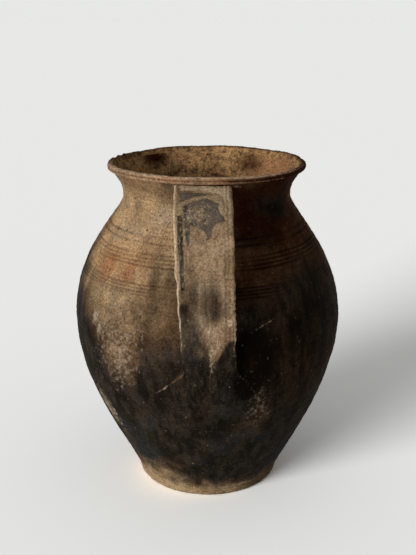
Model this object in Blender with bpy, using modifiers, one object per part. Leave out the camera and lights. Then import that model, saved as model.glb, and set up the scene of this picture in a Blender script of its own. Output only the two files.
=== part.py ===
"""Earthenware jug: a wide-mouthed, round-bellied pot with one broad strap handle.

The pot is put together as its maker does it. A flat disc is the foot. The wall is built up of
five rings of clay, each luted on the one below and thrown out. Their scarfed seams lie above
the foot, at the widest part of the belly, and under the lowest and the highest incised line.
A squared band is laid on the flared mouth. The handle is one pulled strap, stuck to the neck
under the lip, carried over and spread on the belly as a fishtail, with a roll of clay pressed
into the corner under each of its ends.

Sizes are in metres and +Z is up. The origin is the middle of the foot, on the plane that the
jug stands on, and the handle stands on the -Y side. A level is a height over that plane and
a reach is a distance from the jug's axis.
"""

import math

import bmesh
import bpy
from mathutils import Vector
from mathutils.geometry import interpolate_bezier

# Thrown outline
FOOT_HEIGHT = 0.0070
FOOT_RADIUS = 0.0628
FOOT_SET_BACK = 0.0014
FOOT_EDGE_WEAR = 0.0016
BELLY_LEVEL = 0.1480
BELLY_RADIUS = 0.1134
SHOULDER_RISE = 0.1045
NECK_RADIUS = 0.0698
FLARE_RISE = 0.0217
FLARE_RADIUS = 0.0787
FOOT_LEAN = math.radians(17)
FLARE_LEAN = math.radians(24)

# How far each end of a stretch of the outline pulls, as shares of the stretch's height
LOWER_PULL_SHARES = (0.15, 0.42)
UPPER_PULL_SHARES = (0.56, 0.14)
FLARE_PULL_SHARES = (0.55, 0.26)

# Wall and floor. The lowest ring's height is measured from the foot.
LOWEST_RING_HEIGHT = 0.0730
WALL_AT_FOOT = 0.0090
WALL_AT_BELLY = 0.0065
WALL_AT_NECK = 0.0056
WALL_AT_FLARE = 0.0042
FLOOR_STEP = 0.0030
FLOOR_FILLET = 0.0080
FLOOR_FILLET_SHARE = 0.55
SCARF_RISE = 0.0040
LIP_SCARF_RISE = 0.0012
CLEARANCE = 0.0003

# Lip band
LIP_OVERHANG = 0.0033
LIP_BAND_HEIGHT = 0.0055
LIP_BAND_WIDTH = 0.0060
LIP_ROUND = 0.0014
LIP_SET_BACK = 0.0008

# Incised lines, as the drop from the neck to each band's highest line
GROOVE_WIDTH = 0.0016
GROOVE_DEPTH = 0.0007
UPPER_BAND_DROP = 0.0205
UPPER_BAND_PITCH = 0.0045
UPPER_BAND_COUNT = 2
MIDDLE_BAND_DROP = 0.0325
MIDDLE_BAND_PITCH = 0.0027
MIDDLE_BAND_COUNT = 4
LOWER_BAND_DROP = 0.0530
LOWER_BAND_PITCH = 0.0024
LOWER_BAND_COUNT = 4

# Strap handle
STRAP_ROOT_WIDTH = 0.0434
STRAP_WIDTH = 0.0402
STRAP_ROOT_THICKNESS = 0.0100
STRAP_THICKNESS = 0.0088
STRAP_DISH = 0.0007
STRAP_UNDER_LIP = 0.0016
STRAP_EMBED = 0.0045
STRAP_PROUD = 0.0166
STRAP_CROWN_DROP = 0.0315
STRAP_LANDING_DROP = 0.0460
STRAP_TOP_OFFSET = -0.0033
STRAP_FOOT_OFFSET = 0.0030
FISHTAIL_DROP = 0.0040
FISHTAIL_LENGTH = 0.0270
FISHTAIL_ROUND = 0.0180
FISHTAIL_WIDTH = 0.0780
FISHTAIL_THICKNESS = 0.0080
FISHTAIL_PROUD = 0.0014
STRAP_BEND_LENGTH = 0.0135
STRAP_ARCH_SHARES = (0.62, 0.50)
STRAP_FALL_SHARES = (0.42, 0.32)
STRAP_SQUARE_SHARE = 0.36
FISHTAIL_SQUARE_SHARE = 0.55
FISHTAIL_END_SHARE = 0.35

# Rolls of clay under the strap's ends
ROLL_RADIUS = 0.0045
ROLL_END_SHARE = 0.55
ROLL_INSET_SHARE = 0.70
ROLL_TAPER_POWER = 4

# Fineness of the facets
TURN_STEPS = 48
LOWER_POINTS = 13
UPPER_POINTS = 13
FLARE_POINTS = 8
FILLET_POINTS = 5
ROUND_POINTS = 3
ARCH_POINTS = 15
FALL_POINTS = 28
STRAP_SIDES = 20
ROLL_POINTS = 9
ROLL_RESOLUTION = 2
MERGE_DISTANCE = 0.00001
SHARP_ANGLE = math.radians(40)

# Sizes that follow from the ones above
NECK_LEVEL = BELLY_LEVEL + SHOULDER_RISE
FLARE_LEVEL = NECK_LEVEL + FLARE_RISE
JUG_HEIGHT = FLARE_LEVEL + CLEARANCE + LIP_BAND_HEIGHT
FLOOR_LEVEL = FOOT_HEIGHT + FLOOR_STEP
LIP_RADIUS = FLARE_RADIUS + LIP_OVERHANG

UPRIGHT = Vector((0.0, 1.0))
OUTWARDS = Vector((1.0, 0.0))


def leaning(angle):
    """Direction, as (reach, level), of a line that leans outwards from upright by an angle."""
    return Vector((math.sin(angle), math.cos(angle)))


def stretch(start, start_arm, end_arm, end, count):
    """Points of one smooth curve that leaves start along one arm and meets end along another."""
    curve = interpolate_bezier(start, start + start_arm, end - end_arm, end, count)
    return [point.to_2d() for point in curve]


def level_steps(stations, level):
    """Value at a level, read in straight lines between (level, value) stations."""
    for (low, low_value), (high, high_value) in zip(stations, stations[1:]):
        if level <= high:
            share = max(0.0, (level - low) / (high - low))
            return low_value + (high_value - low_value) * share
    return stations[-1][1]


def point_at(curve, level):
    """The curve's point at a level. Past its ends, the curve's own end point."""
    for below, above in zip(curve, curve[1:]):
        if below.y <= level <= above.y:
            return below.lerp(above, (level - below.y) / (above.y - below.y))
    return (curve[0] if level < curve[0].y else curve[-1]).copy()


def wall_direction(level):
    """Direction of the wall's outer side at a level, upwards."""
    above = point_at(OUTER, level + GROOVE_WIDTH)
    below = point_at(OUTER, level - GROOVE_WIDTH)
    return (above - below).normalized()


def outer_curve():
    """The thrown outline, from the foot's top over belly and neck to the flare's edge."""
    foot = Vector((FOOT_RADIUS, FOOT_HEIGHT))
    belly = Vector((BELLY_RADIUS, BELLY_LEVEL))
    neck = Vector((NECK_RADIUS, NECK_LEVEL))
    flare = Vector((FLARE_RADIUS, FLARE_LEVEL))
    lower_rise = belly.y - foot.y
    lower = stretch(
        foot,
        leaning(FOOT_LEAN) * lower_rise * LOWER_PULL_SHARES[0],
        UPRIGHT * lower_rise * LOWER_PULL_SHARES[1],
        belly,
        LOWER_POINTS,
    )
    upper = stretch(
        belly,
        UPRIGHT * SHOULDER_RISE * UPPER_PULL_SHARES[0],
        UPRIGHT * SHOULDER_RISE * UPPER_PULL_SHARES[1],
        neck,
        UPPER_POINTS,
    )
    mouth = stretch(
        neck,
        UPRIGHT * FLARE_RISE * FLARE_PULL_SHARES[0],
        leaning(FLARE_LEAN) * FLARE_RISE * FLARE_PULL_SHARES[1],
        flare,
        FLARE_POINTS,
    )
    return lower + upper[1:] + mouth[1:]


def inner_curve(outer):
    """The outer curve moved inwards, square to itself, by the wall's thickness there."""
    walls = (
        (FOOT_HEIGHT, WALL_AT_FOOT),
        (BELLY_LEVEL, WALL_AT_BELLY),
        (NECK_LEVEL, WALL_AT_NECK),
        (FLARE_LEVEL, WALL_AT_FLARE),
    )
    inner = []
    for index, point in enumerate(outer):
        before = outer[max(index - 1, 0)]
        after = outer[min(index + 1, len(outer) - 1)]
        along = (after - before).normalized()
        inwards = Vector((-along.y, along.x))
        inner.append(point + inwards * level_steps(walls, point.y))
    return inner


def band_lines(drop, pitch, count):
    """Levels of one band's incised lines, counted down from its highest."""
    return [NECK_LEVEL - drop - pitch * index for index in range(count)]


LINES = sorted(
    band_lines(UPPER_BAND_DROP, UPPER_BAND_PITCH, UPPER_BAND_COUNT)
    + band_lines(MIDDLE_BAND_DROP, MIDDLE_BAND_PITCH, MIDDLE_BAND_COUNT)
    + band_lines(LOWER_BAND_DROP, LOWER_BAND_PITCH, LOWER_BAND_COUNT)
)
LOWER_SEAM = FOOT_HEIGHT + LOWEST_RING_HEIGHT
BELLY_SEAM = BELLY_LEVEL
SHOULDER_SEAM = LINES[0]
NECK_SEAM = LINES[-1]

OUTER = outer_curve()
INNER = inner_curve(OUTER)


def groove_depth(level):
    """Depth of the V-shaped grooves at a level, zero away from every line."""
    off_line = min(abs(level - line) for line in LINES)
    return GROOVE_DEPTH * max(0.0, 1.0 - off_line / (GROOVE_WIDTH / 2))


def outer_side(low, high):
    """The wall's outer side between two levels, upwards, with the incised lines cut in."""
    half = GROOVE_WIDTH / 2
    fixed = (*LINES, low, high)
    levels = [line + shift for line in LINES for shift in (-half, 0.0, half)]
    levels += [point.y for point in OUTER if min(abs(point.y - level) for level in fixed) > half]
    side_levels = [low]
    for level in sorted(levels):
        if side_levels[-1] + MERGE_DISTANCE < level < high - MERGE_DISTANCE:
            side_levels.append(level)
    side_levels.append(high)
    return [point_at(OUTER, level) - OUTWARDS * groove_depth(level) for level in side_levels]


def inner_side(low, high):
    """The wall's inner side between two levels, upwards."""
    margin = GROOVE_WIDTH / 2
    between = [point for point in INNER if low + margin < point.y < high - margin]
    return [point_at(INNER, low), *between, point_at(INNER, high)]


def quarter_round(centre, start_angle, end_angle):
    """A rounded edge of the lip band, as points of an arc about its centre."""
    turn = (end_angle - start_angle) / ROUND_POINTS
    angles = [start_angle + turn * index for index in range(ROUND_POINTS + 1)]
    return [centre + Vector((math.cos(angle), math.sin(angle))) * LIP_ROUND for angle in angles]


def clay(name, colour, roughness):
    """A fired clay surface: one Principled shader with a colour and a roughness."""
    material = bpy.data.materials.new(name)
    material.use_nodes = True
    material.diffuse_color = (*colour, 1.0)
    shader = material.node_tree.nodes["Principled BSDF"]
    shader.inputs["Base Color"].default_value = (*colour, 1.0)
    shader.inputs["Roughness"].default_value = roughness
    shader.inputs["Metallic"].default_value = 0.0
    return material


def new_collection(name):
    """An empty collection in the scene."""
    collection = bpy.data.collections.new(name)
    bpy.context.scene.collection.children.link(collection)
    return collection


def add_object(name, data, collection, material=None):
    """An object for a mesh or curve, in a collection and with its material."""
    piece = bpy.data.objects.new(name, data)
    collection.objects.link(piece)
    if material:
        data.materials.append(material)
    return piece


def hide_helper(piece):
    """Marks a cutter, which shapes other pieces and isn't one."""
    piece.hide_render = True
    piece.display_type = "WIRE"
    return piece


def turned(name, profile, closed, collection, material=None):
    """A piece turned about the jug's axis. Its profile runs down the outer side first."""
    mesh = bpy.data.meshes.new(name)
    edges = [(index, index + 1) for index in range(len(profile) - 1)]
    if closed:
        edges.append((len(profile) - 1, 0))
    mesh.from_pydata([(point.x, 0.0, point.y) for point in profile], edges, [])
    piece = add_object(name, mesh, collection, material)
    screw = piece.modifiers.new("Turn", "SCREW")
    screw.axis = "Z"
    screw.steps = TURN_STEPS
    screw.render_steps = TURN_STEPS
    screw.use_merge_vertices = True
    screw.merge_threshold = MERGE_DISTANCE
    screw.use_smooth_shade = True
    return piece


def make_foot(collection):
    """The foot: a flat disc with a worn edge, and a raised floor inside the wall's seat."""
    seat_radius = FOOT_RADIUS - WALL_AT_FOOT
    profile = [
        Vector((0.0, FLOOR_LEVEL)),
        Vector((seat_radius - FLOOR_STEP, FLOOR_LEVEL)),
        Vector((seat_radius, FOOT_HEIGHT)),
        Vector((FOOT_RADIUS, FOOT_HEIGHT)),
        Vector((FOOT_RADIUS - FOOT_SET_BACK, FOOT_EDGE_WEAR)),
        Vector((FOOT_RADIUS - FOOT_SET_BACK - FOOT_EDGE_WEAR, 0.0)),
        Vector((0.0, 0.0)),
    ]
    material = clay("Bare foot clay", (0.46, 0.33, 0.19), 0.9)
    return turned("foot_disc", profile, False, collection, material)


def make_lower_wall(collection):
    """The lowest ring, from its seat on the foot, with a rounded corner on the floor."""
    outer = outer_side(FOOT_HEIGHT + CLEARANCE, LOWER_SEAM)
    seat_radius = FOOT_RADIUS - WALL_AT_FOOT + CLEARANCE
    seat = Vector((seat_radius, FOOT_HEIGHT + CLEARANCE))
    toe = Vector((seat_radius - FLOOR_STEP, FLOOR_LEVEL + CLEARANCE))
    inner = inner_side(FLOOR_LEVEL + FLOOR_FILLET, LOWER_SEAM + SCARF_RISE)
    rising = (inner[1] - inner[0]).normalized()
    fillet = stretch(
        toe,
        OUTWARDS * FLOOR_FILLET * FLOOR_FILLET_SHARE,
        rising * FLOOR_FILLET * FLOOR_FILLET_SHARE,
        inner[0],
        FILLET_POINTS,
    )
    profile = [*reversed(outer), seat, *fillet, *inner[1:]]
    material = clay("Smoke-stained clay", (0.06, 0.045, 0.032), 0.78)
    return turned("lower_wall", profile, True, collection, material)


def make_ring(name, low, high, material, collection):
    """A ring of the wall between two seams, whose edges rise by the scarf towards the inside."""
    outer = outer_side(low + CLEARANCE, high)
    inner = inner_side(low + SCARF_RISE + CLEARANCE, high + SCARF_RISE)
    return turned(name, [*reversed(outer), *inner], True, collection, material)


def make_belly_wall(collection):
    """The ring that swells out to the widest part of the belly."""
    material = clay("Sooted clay", (0.035, 0.027, 0.021), 0.72)
    return make_ring("belly_wall", LOWER_SEAM, BELLY_SEAM, material, collection)


def make_shoulder_wall(collection):
    """The ring that starts to close in, from the widest part to the lowest incised line."""
    material = clay("Smoked clay", (0.07, 0.05, 0.035), 0.74)
    return make_ring("shoulder_wall", BELLY_SEAM, SHOULDER_SEAM, material, collection)


def make_banded_wall(collection):
    """The ring that carries the bands of incised lines."""
    material = clay("Reddened clay", (0.19, 0.095, 0.05), 0.75)
    return make_ring("banded_wall", SHOULDER_SEAM, NECK_SEAM, material, collection)


def make_neck_collar(collection):
    """The highest ring: the neck and the flared mouth under the lip band."""
    outer = outer_side(NECK_SEAM + CLEARANCE, FLARE_LEVEL)
    inner = inner_side(NECK_SEAM + SCARF_RISE + CLEARANCE, FLARE_LEVEL + LIP_SCARF_RISE)
    profile = [*reversed(outer), *inner]
    material = clay("Khaki clay", (0.2, 0.135, 0.075), 0.78)
    return turned("neck_collar", profile, True, collection, material)


def make_lip_band(collection):
    """The squared band on the mouth, with a flat top, rounded edges and a set-back underside."""
    inner_radius = LIP_RADIUS - LIP_BAND_WIDTH
    outer_corner = Vector((LIP_RADIUS - LIP_ROUND, JUG_HEIGHT - LIP_ROUND))
    inner_corner = Vector((inner_radius + LIP_ROUND, JUG_HEIGHT - LIP_ROUND))
    seat_level = FLARE_LEVEL + CLEARANCE
    profile = [
        *reversed(quarter_round(outer_corner, 0.0, math.pi / 2)),
        Vector((LIP_RADIUS - LIP_SET_BACK, seat_level)),
        Vector((FLARE_RADIUS, seat_level)),
        point_at(INNER, FLARE_LEVEL + LIP_SCARF_RISE) + UPRIGHT * CLEARANCE,
        *reversed(quarter_round(inner_corner, math.pi / 2, math.pi)),
    ]
    material = clay("Lip clay", (0.23, 0.13, 0.08), 0.7)
    return turned("lip_band", profile, True, collection, material)


def strap_path():
    """The strap's middle line, from inside the neck over the crown into the belly."""
    root_level = FLARE_LEVEL - STRAP_UNDER_LIP - STRAP_ROOT_THICKNESS / 2
    root = point_at(OUTER, root_level) - OUTWARDS * STRAP_EMBED
    crown = Vector((BELLY_RADIUS + STRAP_PROUD - STRAP_THICKNESS / 2, NECK_LEVEL - STRAP_CROWN_DROP))
    seat = point_at(OUTER, BELLY_LEVEL - STRAP_LANDING_DROP)
    landing = seat + OUTWARDS * (FISHTAIL_PROUD - FISHTAIL_THICKNESS / 2)
    arch = stretch(
        root,
        OUTWARDS * (crown.x - root.x) * STRAP_ARCH_SHARES[0],
        -UPRIGHT * (root.y - crown.y) * STRAP_ARCH_SHARES[1],
        crown,
        ARCH_POINTS,
    )
    drop = crown.y - landing.y
    fall = stretch(
        crown,
        -UPRIGHT * drop * STRAP_FALL_SHARES[0],
        -wall_direction(seat.y) * drop * STRAP_FALL_SHARES[1],
        landing,
        FALL_POINTS,
    )
    return arch + fall[1:]


def strap_offset(path, level):
    """Sideways place of the strap at a level: it leans a little from root to landing."""
    fallen = (path[0].y - level) / (path[0].y - path[-1].y)
    return STRAP_TOP_OFFSET + (STRAP_FOOT_OFFSET - STRAP_TOP_OFFSET) * fallen


def eased(share):
    """A share that starts and ends gently, and stays at 0 or 1 beyond its ends."""
    share = min(1.0, max(0.0, share))
    return share * share * (3.0 - 2.0 * share)


def strap_size(path, level):
    """(width, thickness, spread) of the strap at a level. Spread goes from 0 to 1 in the tail."""
    spread = eased((BELLY_LEVEL - FISHTAIL_DROP - level) / FISHTAIL_LENGTH)
    to_end = max(0.0, 1.0 - (level - path[-1].y) / FISHTAIL_ROUND)
    rounding = math.sqrt(1.0 - (1.0 - FISHTAIL_END_SHARE**2) * to_end**2)
    fallen = min(1.0, (path[0].y - level) / (path[0].y - BELLY_LEVEL))
    width = STRAP_ROOT_WIDTH + (STRAP_WIDTH - STRAP_ROOT_WIDTH) * fallen
    thickness = STRAP_ROOT_THICKNESS + (STRAP_THICKNESS - STRAP_ROOT_THICKNESS) * fallen
    width += (FISHTAIL_WIDTH - width) * spread
    thickness += (FISHTAIL_THICKNESS - thickness) * spread
    return width * rounding, thickness, spread


def squared(value, share):
    """A cosine or sine pushed towards its ends, which squares a round section's corners."""
    return math.copysign(abs(value) ** share, value)


def strap_section(path, index, swell):
    """Corners of one cross-section: a rounded oblong, dished outside, bent round the belly."""
    point = path[index]
    along = (path[min(index + 1, len(path) - 1)] - path[max(index - 1, 0)]).normalized()
    away = Vector((-along.y, along.x))
    width, thickness, spread = strap_size(path, point.y)
    half_width = width / 2 + swell
    half_thickness = thickness / 2 + swell
    square_share = STRAP_SQUARE_SHARE + (FISHTAIL_SQUARE_SHARE - STRAP_SQUARE_SHARE) * spread
    bend = eased((BELLY_LEVEL + FISHTAIL_DROP - point.y) / STRAP_BEND_LENGTH)
    corners = []
    for side in range(STRAP_SIDES):
        angle = math.tau * (side + 0.5) / STRAP_SIDES
        across = squared(math.cos(angle), square_share)
        depth = squared(math.sin(angle), square_share)
        lift = half_thickness * depth - STRAP_DISH * max(0.0, depth) * (1.0 - across * across)
        shift = half_width * across
        place = point + away * lift
        wrap = place.x - math.sqrt(max(0.0, place.x**2 - shift**2))
        reach = place.x - wrap * bend
        corners.append((strap_offset(path, point.y) + shift, -reach, place.y))
    return corners


def strap_mesh(name, swell):
    """The strap before its ends are cut: sections joined in a skin, with both ends capped."""
    path = strap_path()
    form = bmesh.new()
    rings = []
    for index in range(len(path)):
        rings.append([form.verts.new(corner) for corner in strap_section(path, index, swell)])
    for ring, following in zip(rings, rings[1:]):
        for side in range(STRAP_SIDES):
            beyond = (side + 1) % STRAP_SIDES
            form.faces.new((ring[side], ring[beyond], following[beyond], following[side]))
    form.faces.new(rings[0])
    form.faces.new(reversed(rings[-1]))
    bmesh.ops.recalc_face_normals(form, faces=form.faces)
    mesh = bpy.data.meshes.new(name)
    form.to_mesh(mesh)
    form.free()
    mesh.shade_smooth()
    mesh.set_sharp_from_angle(angle=SHARP_ANGLE)
    return mesh


def cut(piece, cutter):
    """Takes a cutter's space out of a piece."""
    boolean = piece.modifiers.new("Cut " + cutter.name, "BOOLEAN")
    boolean.operation = "DIFFERENCE"
    boolean.solver = "EXACT"
    boolean.object = cutter


def make_body_cutter(collection):
    """The jug's whole outer form, swelled by the clearance, which trims what is stuck on it."""
    side = [point + OUTWARDS * CLEARANCE for point in OUTER]
    profile = [Vector((0.0, side[-1].y)), *reversed(side), Vector((0.0, side[0].y))]
    return hide_helper(turned("body_form", profile, False, collection))


def make_strap_cutter(collection):
    """The strap's form, swelled by the clearance, which trims the rolls of clay."""
    return hide_helper(add_object("strap_form", strap_mesh("strap_form", CLEARANCE), collection))


def make_strap(collection, body_form):
    """The pulled strap handle, with its ends cut to the wall that they are stuck on."""
    material = clay("Strap clay", (0.2, 0.15, 0.1), 0.8)
    strap = add_object("handle_strap", strap_mesh("handle_strap", 0.0), collection, material)
    cut(strap, body_form)
    return strap


def make_roll(name, centre, width, offset, cutters, collection):
    """A roll of clay laid along the wall under the strap, thinner at its ends, cut to its seats."""
    half_angle = math.asin(width / 2 / centre.x)
    curve = bpy.data.curves.new(name, "CURVE")
    curve.dimensions = "3D"
    curve.bevel_depth = ROLL_RADIUS
    curve.bevel_resolution = ROLL_RESOLUTION
    curve.use_fill_caps = True
    spline = curve.splines.new("POLY")
    spline.points.add(ROLL_POINTS - 1)
    for index, point in enumerate(spline.points):
        share = 2.0 * index / (ROLL_POINTS - 1) - 1.0
        angle = half_angle * share
        point.co = (
            offset + centre.x * math.sin(angle),
            -centre.x * math.cos(angle),
            centre.y,
            1.0,
        )
        point.radius = 1.0 - (1.0 - ROLL_END_SHARE) * share**ROLL_TAPER_POWER
    guide = add_object(name + "_guide", curve, collection)
    graph = bpy.context.evaluated_depsgraph_get()
    mesh = bpy.data.meshes.new_from_object(guide.evaluated_get(graph))
    bpy.data.objects.remove(guide)
    form = bmesh.new()
    form.from_mesh(mesh)
    bmesh.ops.remove_doubles(form, verts=form.verts, dist=MERGE_DISTANCE)
    bmesh.ops.recalc_face_normals(form, faces=form.faces)
    form.to_mesh(mesh)
    form.free()
    mesh.name = name
    material = clay("Luting clay", (0.13, 0.085, 0.055), 0.85)
    roll = add_object(name, mesh, collection, material)
    for cutter in cutters:
        cut(roll, cutter)
    return roll


def make_upper_roll(collection, cutters):
    """The roll in the corner between the neck and the underside of the strap's root."""
    path = strap_path()
    level = path[0].y - STRAP_ROOT_THICKNESS / 2 - ROLL_RADIUS * ROLL_INSET_SHARE
    centre = point_at(OUTER, level) + OUTWARDS * ROLL_RADIUS * ROLL_INSET_SHARE
    offset = strap_offset(path, level)
    return make_roll("upper_roll", centre, STRAP_ROOT_WIDTH, offset, cutters, collection)


def make_lower_roll(collection, cutters):
    """The roll in the narrow corner between the belly and the strap's inner face."""
    path = strap_path()
    for point in path[ARCH_POINTS:]:
        inner_reach = point.x - strap_size(path, point.y)[1] / 2
        gap = inner_reach - point_at(OUTER, point.y).x
        if gap < ROLL_RADIUS:
            break
    centre = Vector((inner_reach - gap / 2, point.y))
    offset = strap_offset(path, point.y)
    return make_roll("lower_roll", centre, STRAP_WIDTH, offset, cutters, collection)


def clear_scene():
    """Removes every object that the scene starts with."""
    for piece in list(bpy.data.objects):
        bpy.data.objects.remove(piece)


def main():
    """Builds the jug, piece by piece, from the foot up."""
    clear_scene()
    jug = new_collection("Pottery jug")
    helpers = new_collection("Cutters")
    body_form = make_body_cutter(helpers)
    strap_form = make_strap_cutter(helpers)
    make_foot(jug)
    make_lower_wall(jug)
    make_belly_wall(jug)
    make_shoulder_wall(jug)
    make_banded_wall(jug)
    make_neck_collar(jug)
    make_lip_band(jug)
    make_strap(jug, body_form)
    make_upper_roll(jug, (body_form, strap_form))
    make_lower_roll(jug, (body_form, strap_form))


main()
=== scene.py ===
"""Looks of a fired earthenware jug: a wide mouth, a round belly and one broad strap handle.

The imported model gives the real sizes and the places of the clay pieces. Each piece gets its
fine surface here: the unevenness of throwing and wiping, the incised lines, the chipped lip,
the drawn strap with its ragged edge, and the stains that fire, soot and lime leave on clay.

Sizes are in metres, +Z is up and the handle stands on the -Y side. An azimuth is the angle
round the jug from the handle's side, positive towards +X. A level is a height over the plane
that the jug stands on, and a reach is a distance from the jug's axis.
"""
import logging
import math
from dataclasses import dataclass, field
from enum import Enum

import bpy
import numpy as np
from numpy.typing import NDArray
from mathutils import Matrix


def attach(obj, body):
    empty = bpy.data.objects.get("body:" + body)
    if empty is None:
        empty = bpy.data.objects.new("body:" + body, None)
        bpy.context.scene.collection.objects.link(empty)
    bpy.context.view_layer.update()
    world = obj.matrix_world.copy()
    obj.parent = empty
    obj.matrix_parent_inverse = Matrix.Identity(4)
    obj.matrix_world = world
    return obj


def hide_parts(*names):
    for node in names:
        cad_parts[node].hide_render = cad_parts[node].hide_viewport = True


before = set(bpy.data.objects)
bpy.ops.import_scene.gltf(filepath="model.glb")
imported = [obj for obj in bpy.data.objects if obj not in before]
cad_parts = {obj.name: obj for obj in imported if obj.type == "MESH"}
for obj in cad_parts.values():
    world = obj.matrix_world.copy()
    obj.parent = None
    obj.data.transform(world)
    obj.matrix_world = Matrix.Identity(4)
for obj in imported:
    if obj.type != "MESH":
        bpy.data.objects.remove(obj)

Grid = NDArray[np.float64]
Pair = tuple[float, float]
Pairs = tuple[Pair, ...]
Triple = tuple[float, float, float]
Colour = Triple
Socket = bpy.types.NodeSocket
Tree = bpy.types.NodeTree
Input = Socket | float | Colour

LOG = logging.getLogger("jug")
BODY = "root"
MM = 0.001
# Faces that meet at more than this angle keep a crisp edge.
SHARP_ANGLE = math.radians(62)
# Amounts over 1 blacken soot further, up to this one; the right side's painted shade and the strap's
# painted shadow reach such amounts.
MOST_STAIN = 2.0


def smooth_step(values: Grid, low: float, high: float) -> Grid:
    """Goes from 0 at low to 1 at high along 3s^2 - 2s^3, and stays there beyond them."""
    share = np.clip((values - low) / (high - low), 0.0, 1.0)
    return share * share * (3.0 - 2.0 * share)


def smooth_fall(values: Grid, near: float, far: float) -> Grid:
    """Goes from 1 at near down to 0 at far, along the mirrored curve."""
    return smooth_step(-values, -far, -near)


def bump(values: Grid, centre: float | Grid, width: float | Grid) -> Grid:
    """A bell curve, exp(-((v - centre) / width)^2), 1 at its centre."""
    return np.exp(-(((values - centre) / width) ** 2))


def bezier(start: Grid, start_arm: Grid, end_arm: Grid, end: Grid, count: int) -> Grid:
    """Points of a cubic Bezier curve, the sum of its four corners times Bernstein's shares.

    Args:
        start: The curve's first point, as (reach, level).
        start_arm: The way in which it leaves the first point.
        end_arm: The way in which it arrives at the last point.
        end: The curve's last point.
        count: How many points to give.

    Returns:
        An array of count rows of (reach, level).
    """
    t = np.linspace(0.0, 1.0, count)[:, None]
    near, far = start + start_arm, end - end_arm
    return (1 - t) ** 3 * start + 3 * (1 - t) ** 2 * t * near + 3 * (1 - t) * t**2 * far + t**3 * end


def length_along(curve: Grid) -> Grid:
    """Length of a curve from its first point to each of its points."""
    return np.concatenate([[0.0], np.cumsum(np.hypot(*np.diff(curve, axis=0).T))])


def directions(curve: Grid) -> Grid:
    """Unit vectors along a curve, one for each of its points."""
    along = np.gradient(curve, axis=0)
    return along / np.linalg.norm(along, axis=1)[:, None]


def evenly(curve: Grid, count: int) -> Grid:
    """The same curve read at even steps of its own length."""
    length = length_along(curve)
    at = np.linspace(0.0, length[-1], count)
    return np.stack([np.interp(at, length, values) for values in curve.T], -1)


def spaced(start: float, end: float, step: float) -> Grid:
    """Even values from start to end, no further apart than a step."""
    return np.linspace(start, end, max(2, math.ceil(abs(end - start) / step) + 1))


def turn(columns: int) -> Grid:
    """Even azimuths once round, the first at the back."""
    return np.linspace(-np.pi, np.pi, columns, endpoint=False)


def turned(section: Grid, columns: int) -> tuple[Grid, Grid, Grid]:
    """Azimuth, reach and level of the points of a section that is turned once round the axis."""
    azimuth = turn(columns)[None, :] + np.zeros((len(section), 1))
    reach, level = (section[:, part, None] + np.zeros((1, columns)) for part in (0, 1))
    return azimuth, reach, level


def away_from(azimuth: Grid, bearing: float) -> Grid:
    """Signed angle from a bearing to azimuths, the short way round."""
    return np.angle(np.exp(1j * (azimuth - bearing)))


def squared(value: Grid, power: float | Grid) -> Grid:
    """A sine or cosine pushed outwards, sign(v) |v|^power, which squares an oval off."""
    return np.sign(value) * np.abs(value) ** power


def leaning(degrees: float) -> Grid:
    """Unit (reach, level) vector of a line that leans outwards from upright by an angle."""
    return np.array([math.sin(math.radians(degrees)), math.cos(math.radians(degrees))])


UPRIGHT = leaning(0.0)
OUTWARDS = np.array([1.0, 0.0])


@dataclass(frozen=True)
class Waves:
    """A smooth random unevenness, the same on every run.

    It is a sum of cosines, amplitude * sum(cos(rate * a + 2 pi b / length + phase)), over two
    coordinates. With whole rates the first coordinate is an azimuth, and the pattern closes
    round the jug.
    """

    seed: int
    amplitude: float
    rates: Pair
    lengths: Pair
    count: int = 20
    whole: bool = True

    def at(self, first: Grid, second: Grid) -> Grid:
        """The field's value at points given by two arrays of coordinates."""
        draw = np.random.default_rng(self.seed)
        rates = draw.uniform(*self.rates, self.count)
        rates = np.round(rates) if self.whole else rates
        lengths = np.exp(draw.uniform(*np.log(self.lengths), self.count))
        signs = draw.choice((-1.0, 1.0), self.count)
        phases = draw.uniform(0.0, 2 * np.pi, self.count)
        total = np.zeros(np.broadcast(first, second).shape)
        for rate, length, sign, phase in zip(rates, lengths, signs, phases):
            total += np.cos(rate * first + sign * 2 * np.pi * second / length + phase)
        return total * self.amplitude * math.sqrt(2.0 / self.count)


@dataclass(frozen=True)
class Pits:
    """Small round dents strewn over the wall, each a bell curve of its own width and depth.

    depth is the greatest depth, and shares bounds what share of it a dent has.
    """

    seed: int
    count: int
    levels: Pair
    widths: Pair
    depth: float
    shares: Pair = (0.3, 1.0)

    def at(self, azimuth: Grid, level: Grid, reach: Grid) -> Grid:
        """Depth of all the dents at points of the wall."""
        draw = np.random.default_rng(self.seed)
        total = np.zeros(azimuth.shape)
        for _ in range(self.count):
            bearing, rise = draw.uniform(-np.pi, np.pi), draw.uniform(*self.levels)
            width, depth = draw.uniform(*self.widths), self.depth * draw.uniform(*self.shares)
            across = away_from(azimuth, bearing) * reach
            total += depth * np.exp(-(across**2 + (level - rise) ** 2) / width**2)
        return total


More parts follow.
